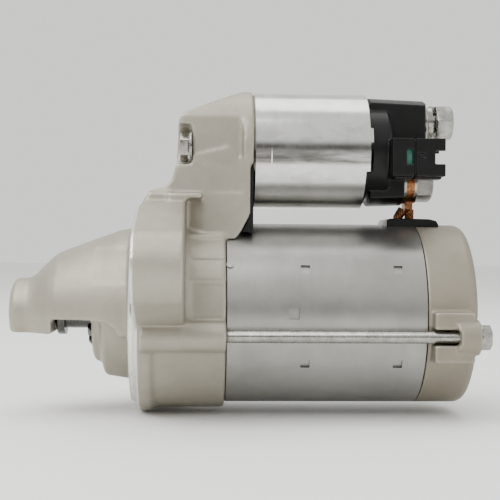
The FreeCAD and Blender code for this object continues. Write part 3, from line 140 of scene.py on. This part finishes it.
def finishFrom(name, look):
    # the common recipe: patches of two colours, uneven roughness, and a fine relief
    material, tree, shader, place = startFinish(name, look["shader"])
    patches = grainNoise(tree, place, look["patch"] * mm)
    mixed = blendColours(tree, remap(tree, patches, 0.3, 0.7, 0.0, 1.0), linear(look["colours"][0]),
                         linear(look["colours"][1]))
    grain = grainNoise(tree, place, look["grain"] * mm, look.get("stretch", (1, 1, 1)))
    rough = remap(tree, grain, 0.25, 0.75, *look["roughness"])
    if "smear" in look:
        smear = look["smear"]  # handling marks: duller patches
        smudge = grainNoise(tree, place, smear["size"] * mm, smear["stretch"], 5.0, (4, 2, 7))
        marks = remap(tree, smudge, 0.48, 0.68, 0.0, smear["amount"])
        mixed = blendColours(tree, marks, mixed, linear(smear["colour"]))
        rough = addNode(tree, "ShaderNodeMath", {"operation": "MULTIPLY_ADD"},
                        {0: marks, 1: smear["rougher"] / smear["amount"], 2: rough}).outputs[0]
    if "pressed" in look:
        pressed = look["pressed"]  # staked squares: painted shade on their sunken walls, round a floor polished by the punch
        reach = aroundAxis(tree, place)[1]
        for depth, colour in (("rim", "wallShadeColour"), ("floor", "floorColour")):
            below = addNode(tree, "ShaderNodeMath", {"operation": "LESS_THAN"},
                            {0: reach, 1: pressed[depth] * mm})
            mixed = blendColours(tree, below.outputs[0], mixed, linear(pressed[colour]))
    if "paintedReflection" in look:
        paintedReflection = look["paintedReflection"]  # painted reflection: a dark, mottled band along each side where the dark low surround would be mirrored, crossed by a painted highlight on a rolled line
        parts = addNode(tree, "ShaderNodeSeparateXYZ", inputs={0: place})
        rise = remap(tree, parts.outputs[2], *[z * mm for z in paintedReflection["low"]], 0.0, 1.0)
        fade = remap(tree, parts.outputs[2], *[z * mm for z in paintedReflection["high"]], 1.0, 0.0)
        bandNoise = grainNoise(tree, place, paintedReflection["grain"] * mm, paintedReflection["stretch"], 4.0, (2, 5, 1))
        bandMottle = remap(tree, bandNoise, 0.30, 0.62, 0.45, 1.0)
        band = addNode(tree, "ShaderNodeMath", {"operation": "MULTIPLY"}, {0: rise, 1: fade})
        band = band.outputs[0]
        patchy = addNode(tree, "ShaderNodeMath", {"operation": "MULTIPLY"}, {0: band, 1: bandMottle})
        amount = addNode(tree, "ShaderNodeMath", {"operation": "MULTIPLY"},
                         {0: patchy.outputs[0], 1: paintedReflection["amount"]}).outputs[0]
        mixed = blendColours(tree, amount, mixed, linear(paintedReflection["colour"]))
        # painted highlight: a bright line at the rolled seam, drawn only inside the painted reflection
        # band
        near = addNode(tree, "ShaderNodeMath", {"operation": "COMPARE"}, {
            0: parts.outputs[0], 1: paintedReflection["line"][0] * mm, 2: paintedReflection["line"][1] * mm}).outputs[0]
        seamGlint = addNode(tree, "ShaderNodeMath", {"operation": "MULTIPLY"}, {0: near, 1: band})
        mixed = blendColours(tree, seamGlint.outputs[0], mixed, linear(paintedReflection["seamHighlightColour"]))
    tree.links.new(mixed, shader.inputs["Base Color"])
    tree.links.new(rough, shader.inputs["Roughness"])
    relief = addNode(tree, "ShaderNodeBump", inputs={
        "Strength": 0.6, "Distance": look["relief"] * mm, "Height": grain})
    tree.links.new(relief.outputs[0], shader.inputs["Normal"])
    return material


finishLooks = {  # in mm; a grain finer than the render can show is drawn as coarse as it needs to show
    # zinc-plated drawn steel: bright, with fine rings from polishing round its axis
    "zincPlatedCan": {
        "colours": ("#CFCFCB", "#DCDCD8"), "patch": 9, "grain": 0.9, "stretch": (1, 0.03, 0.03),
        "relief": 0.0015, "roughness": (0.17, 0.21), "shader": {"Metallic": 1.0},
        "smear": {"size": 5, "stretch": (0.5, 1, 1), "colour": "#A5A39B", "amount": 0.35,
                  "rougher": 0.06},
        # painted reflection: the dark band along each side of the can; its bright line is a painted
        # highlight
        "paintedReflection": {"low": (56.2, 58.3), "high": (59.6, 66.5), "colour": "#3B3833", "amount": 0.9,
                   "grain": 3.0, "stretch": (0.16, 1, 1), "line": (50.4, 0.22),
                   "seamHighlightColour": "#E4E3DF"}},
    # zinc-plated fasteners: bright with a faint yellow cast, tumbled
    "zincPlatedFastener": {
        "colours": ("#8F8E89", "#A8A7A1"), "patch": 2.5, "grain": 0.5, "relief": 0.006,
        "roughness": (0.20, 0.30), "shader": {"Metallic": 1.0}},
    # the same plating painted darker as the shade the nut sits in under the cap
    "platedNutInShade": {
        "colours": ("#6F6E6A", "#83827D"), "patch": 2.5, "grain": 0.5, "relief": 0.006,
        "roughness": (0.26, 0.36), "shader": {"Metallic": 1.0}},
    # satin plated steel tube: grey, with faint rolling lines round it
    "satinYokeSteel": {
        "colours": ("#9A9995", "#A5A4A0"), "patch": 16, "grain": 0.5, "stretch": (1, 0.04, 0.04),
        "relief": 0.003, "roughness": (0.30, 0.38), "shader": {"Metallic": 0.95},
        "smear": {"size": 12, "stretch": (1, 0.4, 0.4), "colour": "#868580", "amount": 0.2,
                  "rougher": 0.04},
        # painted shade: the walls of the staked squares are darkened
        "pressed": {"rim": 34.85, "floor": 34.25, "wallShadeColour": "#55544F", "floorColour": "#A9A8A4"}},
    # machined alloy steel: cut teeth and journals, its colour painted dark as the shade inside the
    # nose window
    "machinedSteelInShade": {
        "colours": ("#4B4A48", "#605F5C"), "patch": 6, "grain": 0.3, "stretch": (1, 0.1, 0.1),
        "relief": 0.006, "roughness": (0.24, 0.36), "shader": {"Metallic": 1.0}},
    # drawn spring wire: smooth, dark and slightly blue
    "springWire": {
        "colours": ("#6B6B6D", "#7D7D80"), "patch": 3, "grain": 0.2, "relief": 0.004,
        "roughness": (0.28, 0.38), "shader": {"Metallic": 1.0}},
    # porous sintered bronze, soaked with oil
    "sinteredBronze": {
        "colours": ("#8E7448", "#A98B5A"), "patch": 1.5, "grain": 0.18, "relief": 0.02,
        "roughness": (0.38, 0.55), "shader": {"Metallic": 1.0}},
    # pressed ferrite: dull near-black ceramic
    "ferriteMagnet": {
        "colours": ("#2A2A2C", "#363638"), "patch": 5, "grain": 0.3, "relief": 0.012,
        "roughness": (0.55, 0.7), "shader": {"Metallic": 0.0, "IOR": 1.6}},
    # glass-filled nylon, moulded black: satin with a short fibre grain
    "mouldedNylon": {
        "colours": ("#050505", "#0A0A0A"), "patch": 6, "grain": 0.45, "relief": 0.006,
        "roughness": (0.34, 0.44),
        "shader": {"Metallic": 0.0, "IOR": 1.5, "Specular IOR Level": 0.28}},
    # glass-filled nylon, moulded grey: the hidden gear, bobbin and lever
    "greyNylon": {
        "colours": ("#242523", "#30312E"), "patch": 6, "grain": 0.3, "relief": 0.01,
        "roughness": (0.38, 0.5), "shader": {"Metallic": 0.0, "IOR": 1.53}},
    # moulded rubber: matt, with a dusty bloom
    "blackRubber": {
        "colours": ("#070707", "#0E0E0D"), "patch": 4, "grain": 0.3, "relief": 0.012,
        "roughness": (0.55, 0.72),
        "shader": {"Metallic": 0.0, "IOR": 1.5, "Specular IOR Level": 0.25}},
    # dyed silicone rubber: a matt green ring inside the socket
    "greenSealRubber": {
        "colours": ("#2A6353", "#347364"), "patch": 2, "grain": 0.25, "relief": 0.012,
        "roughness": (0.5, 0.65), "shader": {"Metallic": 0.0, "IOR": 1.45}},
    # bare copper, handled: orange with brown tarnish
    "bareCopper": {
        "colours": ("#6B4029", "#A56F4A"), "patch": 0.9, "grain": 0.25, "relief": 0.01,
        "roughness": (0.28, 0.42), "shader": {"Metallic": 1.0}},
    # enamelled winding wire under varnish, its strands drawn as coarse as they need to show
    "enamelledWinding": {
        "colours": ("#6A2A12", "#8C4020"), "patch": 2.5, "grain": 0.8, "stretch": (1, 0.1, 0.1),
        "relief": 0.12, "roughness": (0.2, 0.32), "shader": {"Metallic": 0.35, "IOR": 1.5}},
    # pressed carbon with copper dust: dark, with a dull glint
    "carbonBrush": {
        "colours": ("#2B2826", "#3A3531"), "patch": 1.5, "grain": 0.15, "relief": 0.008,
        "roughness": (0.42, 0.56), "shader": {"Metallic": 0.5}},
    # stacked sheet steel: edges show as lines across the axis
    "laminatedCore": {
        "colours": ("#505156", "#65666A"), "patch": 8, "grain": 0.5, "stretch": (1, 0.01, 0.01),
        "relief": 0.06, "roughness": (0.32, 0.46), "shader": {"Metallic": 1.0}},
}
finishes = {name: finishFrom(name, look) for name, look in finishLooks.items()}

castLook = {
    "colours": ("#9D978A", "#A7A295"), "freckleAndCreaseShadeColour": "#7E796C", "highColour": "#BDB9AE", "patch": 22,
    "mottle": 3.5, "freckle": 0.12, "grain": 0.45, "relief": 0.022, "metallic": 0.62,
    "roughness": (0.42, 0.56), "machined": "#D6D5D1", "machinedRoughness": 0.24,
    "inner": (0.40, 0.49), "outer": (0.51, 0.60), "edgeShare": 0.7, "strength": 0.55}


def castAluminium(name, look, machinedRange=None):
    # die-cast and shot-blasted aluminium: a matt, slightly warm skin with painted shade in its corners
    # and creases, and bright turned faces where it was machined
    material, tree, shader, place = startFinish(name, {"Metallic": look["metallic"]})
    patches = grainNoise(tree, place, look["patch"] * mm, detail=4.0)
    mottle = grainNoise(tree, place, look["mottle"] * mm, detail=2.0, shift=(3, 1, 2))
    skin = blendColours(tree, remap(tree, patches, 0.3, 0.7, 0.0, 1.0), linear(look["colours"][0]),
                        linear(look["colours"][1]))
    spots = remap(tree, mottle, 0.35, 0.8, 0.0, look["freckle"])
    freckled = blendColours(tree, spots, skin, linear(look["freckleAndCreaseShadeColour"]))
    bend = addNode(tree, "ShaderNodeNewGeometry").outputs["Pointiness"]
    # painted shade: concave corners and creases are darkened; the convex edges brighten as wear
    inner = remap(tree, bend, *look["inner"], look["edgeShare"], 0.0)
    outer = remap(tree, bend, *look["outer"], 0.0, look["edgeShare"])
    creaseShaded = blendColours(tree, inner, freckled, linear(look["freckleAndCreaseShadeColour"]))
    colour = blendColours(tree, outer, creaseShaded, linear(look["highColour"]))
    grain = grainNoise(tree, place, look["grain"] * mm, detail=3.0)
    rough = remap(tree, grain, 0.25, 0.75, *look["roughness"])
    relief = addNode(tree, "ShaderNodeBump", inputs={
        "Strength": look["strength"], "Distance": look["relief"] * mm, "Height": grain}).outputs[0]
    if machinedRange:
        along, reach = aroundAxis(tree, place)
        front, back, radius = machinedRange
        inside = addNode(tree, "ShaderNodeMath", {"operation": "COMPARE"}, {
            0: along, 1: (front + back) / 2 * mm, 2: (back - front) / 2 * mm})
        outside = addNode(tree, "ShaderNodeMath", {"operation": "GREATER_THAN"},
                          {0: reach, 1: radius * mm})
        machined = addNode(tree, "ShaderNodeMath", {"operation": "MULTIPLY"},
                           {0: inside.outputs[0], 1: outside.outputs[0]}).outputs[0]
        colour = blendColours(tree, machined, colour, linear(look["machined"]))
        rough = addNode(tree, "ShaderNodeMix", {"data_type": "FLOAT"},
                        {0: machined, 2: rough, 3: look["machinedRoughness"]}).outputs[0]
    tree.links.new(colour, shader.inputs["Base Color"])
    tree.links.new(rough, shader.inputs["Roughness"])
    tree.links.new(relief, shader.inputs["Normal"])
    return material


machinedRange = (-3.2, 1.05, 34.0)  # the flange's turned face: front, back, and outside this radius
finishes["castAluminium"] = castAluminium("castAluminium", castLook, machinedRange)
coverLook = dict(castLook, colours=("#8A8375", "#948D7F"), metallic=0.55)
finishes["castCover"] = castAluminium("castCover", coverLook)
turnedLook = {
    # fine-turned aluminium: very bright, with tool rings
    "colours": ("#E6E5E1", "#F0EFEC"), "patch": 8, "grain": 0.25, "stretch": (1, 0.02, 0.02),
    "relief": 0.003, "roughness": (0.18, 0.26), "shader": {"Metallic": 1.0}}
finishes["turnedAluminium"] = finishFrom("turnedAluminium", turnedLook)
print("finishes made:", len(finishes))

nodeFinish = {
    "castAluminium": ["drive_housing", "center_bracket"],
    "castCover": ["rear_cover"],
    "satinYokeSteel": ["yoke"],
    "zincPlatedCan": ["solenoid_case", "clutch_cover"],
    "zincPlatedFastener": ["through_bolts", "battery_stud", "motor_stud", "battery_nut",
                           "battery_lock_washer", "battery_washer", "motor_nut", "motor_washers",
                           "solenoid_screws"],
    "machinedSteelInShade": ["armature_plate", "lever_pin", "solenoid_core", "armature_shaft", "drive_shaft",
                      "planet_pins", "stop_collar", "planet_gear_1", "planet_gear_2", "planet_gear_3",
                      "clutch_outer", "clutch_rollers", "shift_collar", "pinion", "plunger"],
    "springWire": ["brush_springs", "plunger_spring", "contact_spring", "snap_ring", "roller_springs"],
    "sinteredBronze": ["nose_bush", "center_bush", "rear_bush"],
    "ferriteMagnet": ["magnets"],
    "mouldedNylon": ["solenoid_cap"],
    "greyNylon": ["ring_gear", "brush_holder", "coil_bobbin", "shift_lever"],
    "blackRubber": ["case_seals", "lead_grommet", "lever_plug"],
    "greenSealRubber": ["socket_seal"],
    "bareCopper": ["motor_lead", "lead_lug", "socket_blade", "commutator", "contact_plate"],
    "enamelledWinding": ["solenoid_coils", "armature_winding"],
    "carbonBrush": ["brush_1", "brush_2", "brush_3", "brush_4"],
    "laminatedCore": ["armature_core"],
}


def dress(piece, finish):
    piece.data.materials.clear()
    piece.data.materials.append(finishes[finish])


for finish, nodes in nodeFinish.items():
    for node in nodes:
        for slot in frame["nodes"][node].material_slots:
            slot.material = finishes[finish]
        if not frame["nodes"][node].material_slots:
            frame["nodes"][node].data.materials.append(finishes[finish])
print("every node dressed")


def freezeModifiers(piece):
    # the shape after its modifiers becomes the mesh
    graph = bpy.context.evaluated_depsgraph_get()
    frozen = bpy.data.meshes.new_from_object(piece.evaluated_get(graph))
    piece.modifiers.clear()
    piece.data = frozen
    return piece


def softened(node, look):
    # a welded copy of the node, its edges rolled over as in a casting or a moulding
    mesh = frame["nodes"][node].data.copy()
    shell = bmesh.new()
    shell.from_mesh(mesh)
    bmesh.ops.remove_doubles(shell, verts=shell.verts, dist=weldDistance)
    shell.to_mesh(mesh)
    shell.free()
    piece = bpy.data.objects.new(look["name"], mesh)
    bpy.context.scene.collection.objects.link(piece)
    remesh = piece.modifiers.new("skin", "REMESH")
    remesh.mode = "VOXEL"
    remesh.voxel_size = look["voxel"] * mm
    remesh.use_smooth_shade = True
    smooth = piece.modifiers.new("roll", "SMOOTH")
    smooth.factor = 0.5
    smooth.iterations = look["rounds"]
    if look.get("keep", 1.0) < 1.0:
        thin = piece.modifiers.new("thin", "DECIMATE")
        thin.ratio = look["keep"]
    freezeModifiers(piece)
    dress(piece, look["finish"])
    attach(piece, frame["nodes"][node]["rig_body"])
    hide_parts(node)
    triangles = sum(len(face.vertices) - 2 for face in piece.data.polygons)
    print(look["name"], "has", triangles, "triangles")


def newPiece(name, shell, finish, body, replaced=(), crease=32):
    # a finished piece from its mesh under construction: smooth, with its sharp edges kept
    bmesh.ops.recalc_face_normals(shell, faces=shell.faces)
    mesh = bpy.data.meshes.new(name)
    shell.to_mesh(mesh)
    shell.free()
    mesh.shade_smooth()
    mesh.set_sharp_from_angle(angle=math.radians(crease))
    piece = bpy.data.objects.new(name, mesh)
    bpy.context.scene.collection.objects.link(piece)
    dress(piece, finish)
    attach(piece, body)
    for node in replaced:
        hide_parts(node)
    return piece


sharpAngle = math.radians(33)  # edges turned more than this get a round
flatAngle = math.radians(1.5)  # neighbouring faces this close to flat are joined first


def crisped(node, look):
    # a welded copy of the node with a narrow round along every sharp edge, as plated metal has
    shell = bmesh.new()
    shell.from_mesh(frame["nodes"][node].data)
    bmesh.ops.remove_doubles(shell, verts=shell.verts, dist=weldDistance)
    bmesh.ops.dissolve_limit(shell, angle_limit=flatAngle, verts=shell.verts, edges=shell.edges)
    sharp = [edge for edge in shell.edges
             if len(edge.link_faces) == 2 and edge.calc_face_angle(0) > sharpAngle]
    bmesh.ops.bevel(shell, geom=sharp, offset=look["edge"] * mm, offset_type="OFFSET",
                    affect="EDGES", segments=2, profile=0.5, material=-1, clamp_overlap=True)
    body = frame["nodes"][node]["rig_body"]
    newPiece(look["name"], shell, look["finish"], body, [node])


softLooks = {
    "drive_housing": {"name": "driveHousing", "finish": "castAluminium", "slot": "cast_aluminium",
                      "voxel": 0.8, "rounds": 3, "keep": 0.55},
    "rear_cover": {"name": "rearCover", "finish": "castCover", "slot": "cast_aluminium",
                   "voxel": 0.6, "rounds": 2},
    "solenoid_cap": {"name": "solenoidCap", "finish": "mouldedNylon", "slot": "black_plastic",
                     "voxel": 0.32, "rounds": 2, "keep": 0.8},
    "lever_plug": {"name": "leverPlug", "finish": "blackRubber", "slot": "black_rubber",
                   "voxel": 0.4, "rounds": 2},
    "lead_grommet": {"name": "leadGrommet", "finish": "blackRubber", "slot": "black_rubber",
                     "voxel": 0.3, "rounds": 3},
}
for node, look in softLooks.items():
    softened(node, look)

fastener = "zincPlatedFastener"
crispLooks = {
    "battery_nut": {"name": "batteryNut", "finish": fastener, "edge": 0.45},
    "motor_nut": {"name": "motorNut", "finish": "platedNutInShade", "edge": 0.45},
    "battery_washer": {"name": "batteryWasher", "finish": fastener, "edge": 0.28},
    "motor_washers": {"name": "motorWashers", "finish": fastener, "edge": 0.28},
    "through_bolts": {"name": "throughBolts", "finish": fastener, "edge": 0.3},
    "solenoid_screws": {"name": "solenoidScrews", "finish": fastener, "edge": 0.3},
    "battery_stud": {"name": "batteryStud", "finish": fastener, "edge": 0.28},
    "motor_stud": {"name": "motorStud", "finish": fastener, "edge": 0.28},
}
for node, look in crispLooks.items():
    crisped(node, look)
print("fasteners edged")

springLooks = {
    "plungerSpring": {"node": "plunger_spring", "joint": "plunger_slide", "axis": (1, 0, 0)},
    "contactSpring": {"node": "contact_spring", "joint": "contact_slide", "axis": (1, 0, 0)},
}
for index in range(4):
    angle = math.radians(45 + 90 * index)
    springLooks["brushSpring%d" % (index + 1)] = {
        "node": "brush_springs", "joint": "brush_%d_slide" % (index + 1),
        "axis": (0, math.cos(angle), math.sin(angle)), "side": 0.8}


def springPiece(name, look):
    # one coil as a piece of its own; a brush spring keeps only the part lying towards its brush
    node = frame["nodes"][look["node"]]
    axis = Vector(look["axis"])
    shell = bmesh.new()
    shell.from_mesh(node.data)
    bmesh.ops.remove_doubles(shell, verts=shell.verts, dist=weldDistance)
    if "side" in look:
        others = [vert for vert in shell.verts
                  if vert.co.dot(axis) < look["side"] * math.hypot(vert.co.y, vert.co.z)]
        bmesh.ops.delete(shell, geom=others, context="VERTS")
    piece = newPiece(name, shell, "springWire", node["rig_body"], [look["node"]], 40)
    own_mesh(piece)


for name, look in springLooks.items():
    springPiece(name, look)
print("springs wound")

registerLook = {"reach": 35.04, "under": 34.4, "front": -2.05, "back": -0.02, "chamfer": 0.35,
                "steps": 160}


def registerRing(look):
    # the turned register in front of the flange, kept crisp where the casting round it is soft
    corners = [(look["front"], look["under"]), (look["front"], look["reach"] - look["chamfer"]),
               (look["front"] + look["chamfer"], look["reach"]), (look["back"], look["reach"]),
               (look["back"], look["under"])]
    shell = bmesh.new()
    points = [shell.verts.new((x * mm, 0, r * mm)) for x, r in corners]
    edges = [shell.edges.new(pair) for pair in zip(points, points[1:] + points[:1])]
    bmesh.ops.spin(shell, geom=points + edges, cent=(0, 0, 0), axis=(1, 0, 0), angle=math.tau,
                   steps=look["steps"], use_merge=True)
    bmesh.ops.remove_doubles(shell, verts=shell.verts, dist=weldDistance)
    newPiece("registerRing", shell, "turnedAluminium", "case")


registerRing(registerLook)

leadLook = {"middle": 104.4, "spread": 2.3, "lugPlace": (105.9, 42.6), "lugSpread": 0.9,
            "lugTail": 41.2, "knee": 37.9, "turn": 3.4, "bottom": 27.5, "front": 94.5,
            "wires": 9, "wireRadius": 0.5, "wireRing": 1.38, "pitch": 13.0, "sides": 8, "step": 0.75}


def strandPath(sign, look):
    # the middle line of one strand in the plane of the lead: points and headings, top to bottom
    x = look["middle"] + sign * look["spread"]
    knee = Vector((x, 0, look["knee"]))
    lug = Vector((look["lugPlace"][0] + sign * look["lugSpread"], 0, look["lugPlace"][1]))
    share = (look["lugTail"] - look["knee"]) / (look["lugPlace"][1] - look["knee"])
    top = knee + (lug - knee) * share
    centre = Vector((x - look["turn"], 0, look["bottom"] + look["turn"]))
    corners = [top, knee, Vector((x, 0, centre.z))]
    for index in range(1, 9):
        angle = math.pi / 2 * index / 8
        corners.append(centre + Vector((math.cos(angle), 0, -math.sin(angle))) * look["turn"])
    corners.append(Vector((look["front"], 0, look["bottom"])))
    points = []
    for start, end in zip(corners, corners[1:]):
        count = max(1, round((end - start).length / look["step"]))
        points += [start.lerp(end, index / count) for index in range(count)]
    points.append(corners[-1])
    return points


def windWire(shell, path, phase, ringRadius, look):
    # one wire of the strand, wound round the middle line
    travelled, last, frames = 0.0, path[0], []
    for index, point in enumerate(path):
        travelled += (point - last).length
        last = point
        after, before = path[min(index + 1, len(path) - 1)], path[max(index - 1, 0)]
        heading = (after - before).normalized()
        across = Vector((0, 1, 0))
        outward = across.cross(heading)
        angle = phase + math.tau * travelled / look["pitch"]
        middle = (point + (across * math.cos(angle) + outward * math.sin(angle)) * ringRadius) * mm
        axes = Matrix((across, outward, heading)).transposed().to_4x4()
        frames.append(Matrix.Translation(middle) @ axes)
    ring = bmesh.ops.create_circle(shell, cap_ends=False, radius=look["wireRadius"] * mm,
                                   segments=look["sides"], matrix=frames[0])["verts"]
    edges = list({edge for vert in ring for edge in vert.link_edges})
    firstEdges = edges
    for before, after in zip(frames, frames[1:]):
        grown = bmesh.ops.extrude_edge_only(shell, edges=edges)["geom"]
        verts = [item for item in grown if isinstance(item, bmesh.types.BMVert)]
        bmesh.ops.transform(shell, matrix=after @ before.inverted(), verts=verts)
        edges = [item for item in grown if isinstance(item, bmesh.types.BMEdge)
                 and all(vert in verts for vert in item.verts)]
    bmesh.ops.holes_fill(shell, edges=firstEdges + edges, sides=look["sides"])


def motorLead(look):
    # two strands of bare copper wire, drawn with far fewer and thicker wires than the real braid
    shell = bmesh.new()
    for sign in (-1, 1):
        path = strandPath(sign, look)
        for index in range(look["wires"]):
            windWire(shell, path, math.tau * index / look["wires"] + sign, look["wireRing"], look)
        windWire(shell, path, 0.0, 0.0, dict(look, wireRadius=look["wireRing"] - 0.2, sides=12))
    newPiece("motorLead", shell, "bareCopper", "case", ["motor_lead"], 60)


motorLead(leadLook)
print("lead wound")

stageLook = {"floorDrop": 0.4, "floorSize": 12.0, "floorColour": "#F2F2F0",
             "floorRoughness": 0.7, "target": (43.36, 0, 24.57),
             "distance": 437.6, "yaw": 2.602, "pitch": -0.201, "roll": 0.427, "lens": 79.53}
worldLook = {"bright": "#FAFAF8", "dark": "#3C3C3A", "strength": 1.15, "sideFade": (0.30, 0.75),
             "lowFade": (-0.2, 0.0), "highFade": (0.12, 0.32)}
lights = {
    "keyLight": {"place": (-0.60, -0.50, 1.00), "aim": (0.03, 0, 0.03), "size": (1.3, 1.0),
                 "power": 17.0},
    "fillLight": {"place": (0.85, -0.75, 0.30), "aim": (0.05, 0, 0.02), "size": (0.6, 0.9),
                  "power": 1.5},
    "topLight": {"place": (0.05, 0.25, 1.10), "aim": (0.04, 0, 0.02), "size": (1.2, 0.8),
                 "power": 7.0},
}


def makeFloor(look):
    plate = bmesh.new()
    bmesh.ops.create_grid(plate, x_segments=1, y_segments=1, size=look["floorSize"] / 2)
    bmesh.ops.translate(plate, verts=plate.verts, vec=(0, 0, cadBox[0][2] - look["floorDrop"] * mm))
    mesh = bpy.data.meshes.new("floor")
    plate.to_mesh(mesh)
    plate.free()
    floor = bpy.data.objects.new("floor", mesh)
    bpy.context.scene.collection.objects.link(floor)
    paint = {"Base Color": linear(look["floorColour"]), "Roughness": look["floorRoughness"]}
    mesh.materials.append(startFinish("paleFloor", paint)[0])


def makeCamera(look):
    camera = bpy.data.objects.new("camera", bpy.data.cameras.new("camera"))
    bpy.context.scene.collection.objects.link(camera)
    yaw, pitch, roll = (math.radians(look[key]) for key in ("yaw", "pitch", "roll"))
    forward = Vector((math.sin(yaw) * math.cos(pitch), math.cos(yaw) * math.cos(pitch),
                      -math.sin(pitch)))
    level = Vector((math.cos(yaw), -math.sin(yaw), 0))
    right = level * math.cos(roll) + level.cross(forward) * math.sin(roll)
    up = right.cross(forward)
    place = Vector(look["target"]) * mm - forward * look["distance"] * mm
    axes = Matrix((right, up, -forward)).transposed().to_4x4()
    camera.matrix_world = Matrix.Translation(place) @ axes
    camera.data.lens = look["lens"]
    camera.data.sensor_width = 36.0
    camera.data.clip_start = 0.01
    bpy.context.scene.camera = camera


def areaLight(name, look):
    lamp = bpy.data.lights.new(name, "AREA")
    lamp.shape = "RECTANGLE"
    lamp.size, lamp.size_y = look["size"]
    lamp.energy = look["power"]
    light = bpy.data.objects.new(name, lamp)
    bpy.context.scene.collection.objects.link(light)
    light.location = look["place"]
    aim = Vector(look["aim"]) - Vector(look["place"])
    light.rotation_euler = aim.to_track_quat("-Z", "Y").to_euler()


def studioWorld(look):
    # a pale surround, darker low down on the near side, which puts a dark band in the reflections
    world = bpy.data.worlds.new("studio")
    world.use_nodes = True
    tree = world.node_tree
    heading = addNode(tree, "ShaderNodeTexCoord").outputs["Generated"]
    parts = addNode(tree, "ShaderNodeSeparateXYZ", inputs={0: heading})
    ahead = addNode(tree, "ShaderNodeMath", {"operation": "MULTIPLY"},
                    {0: parts.outputs[1], 1: -1.0}).outputs[0]
    side = remap(tree, ahead, *look["sideFade"], 0.0, 1.0)
    low = remap(tree, parts.outputs[2], *look["lowFade"], 0.0, 1.0)
    high = remap(tree, parts.outputs[2], *look["highFade"], 1.0, 0.0)
    band = addNode(tree, "ShaderNodeMath", {"operation": "MULTIPLY"}, {0: low, 1: high}).outputs[0]
    amount = addNode(tree, "ShaderNodeMath", {"operation": "MULTIPLY"}, {0: side, 1: band})
    backdrop = tree.nodes["Background"]
    shade = blendColours(tree, amount.outputs[0], linear(look["bright"]), linear(look["dark"]))
    tree.links.new(shade, backdrop.inputs["Color"])
    backdrop.inputs["Strength"].default_value = look["strength"]
    bpy.context.scene.world = world


makeFloor(stageLook)
makeCamera(stageLook)
for name, look in lights.items():
    areaLight(name, look)
studioWorld(worldLook)
print("stage set")
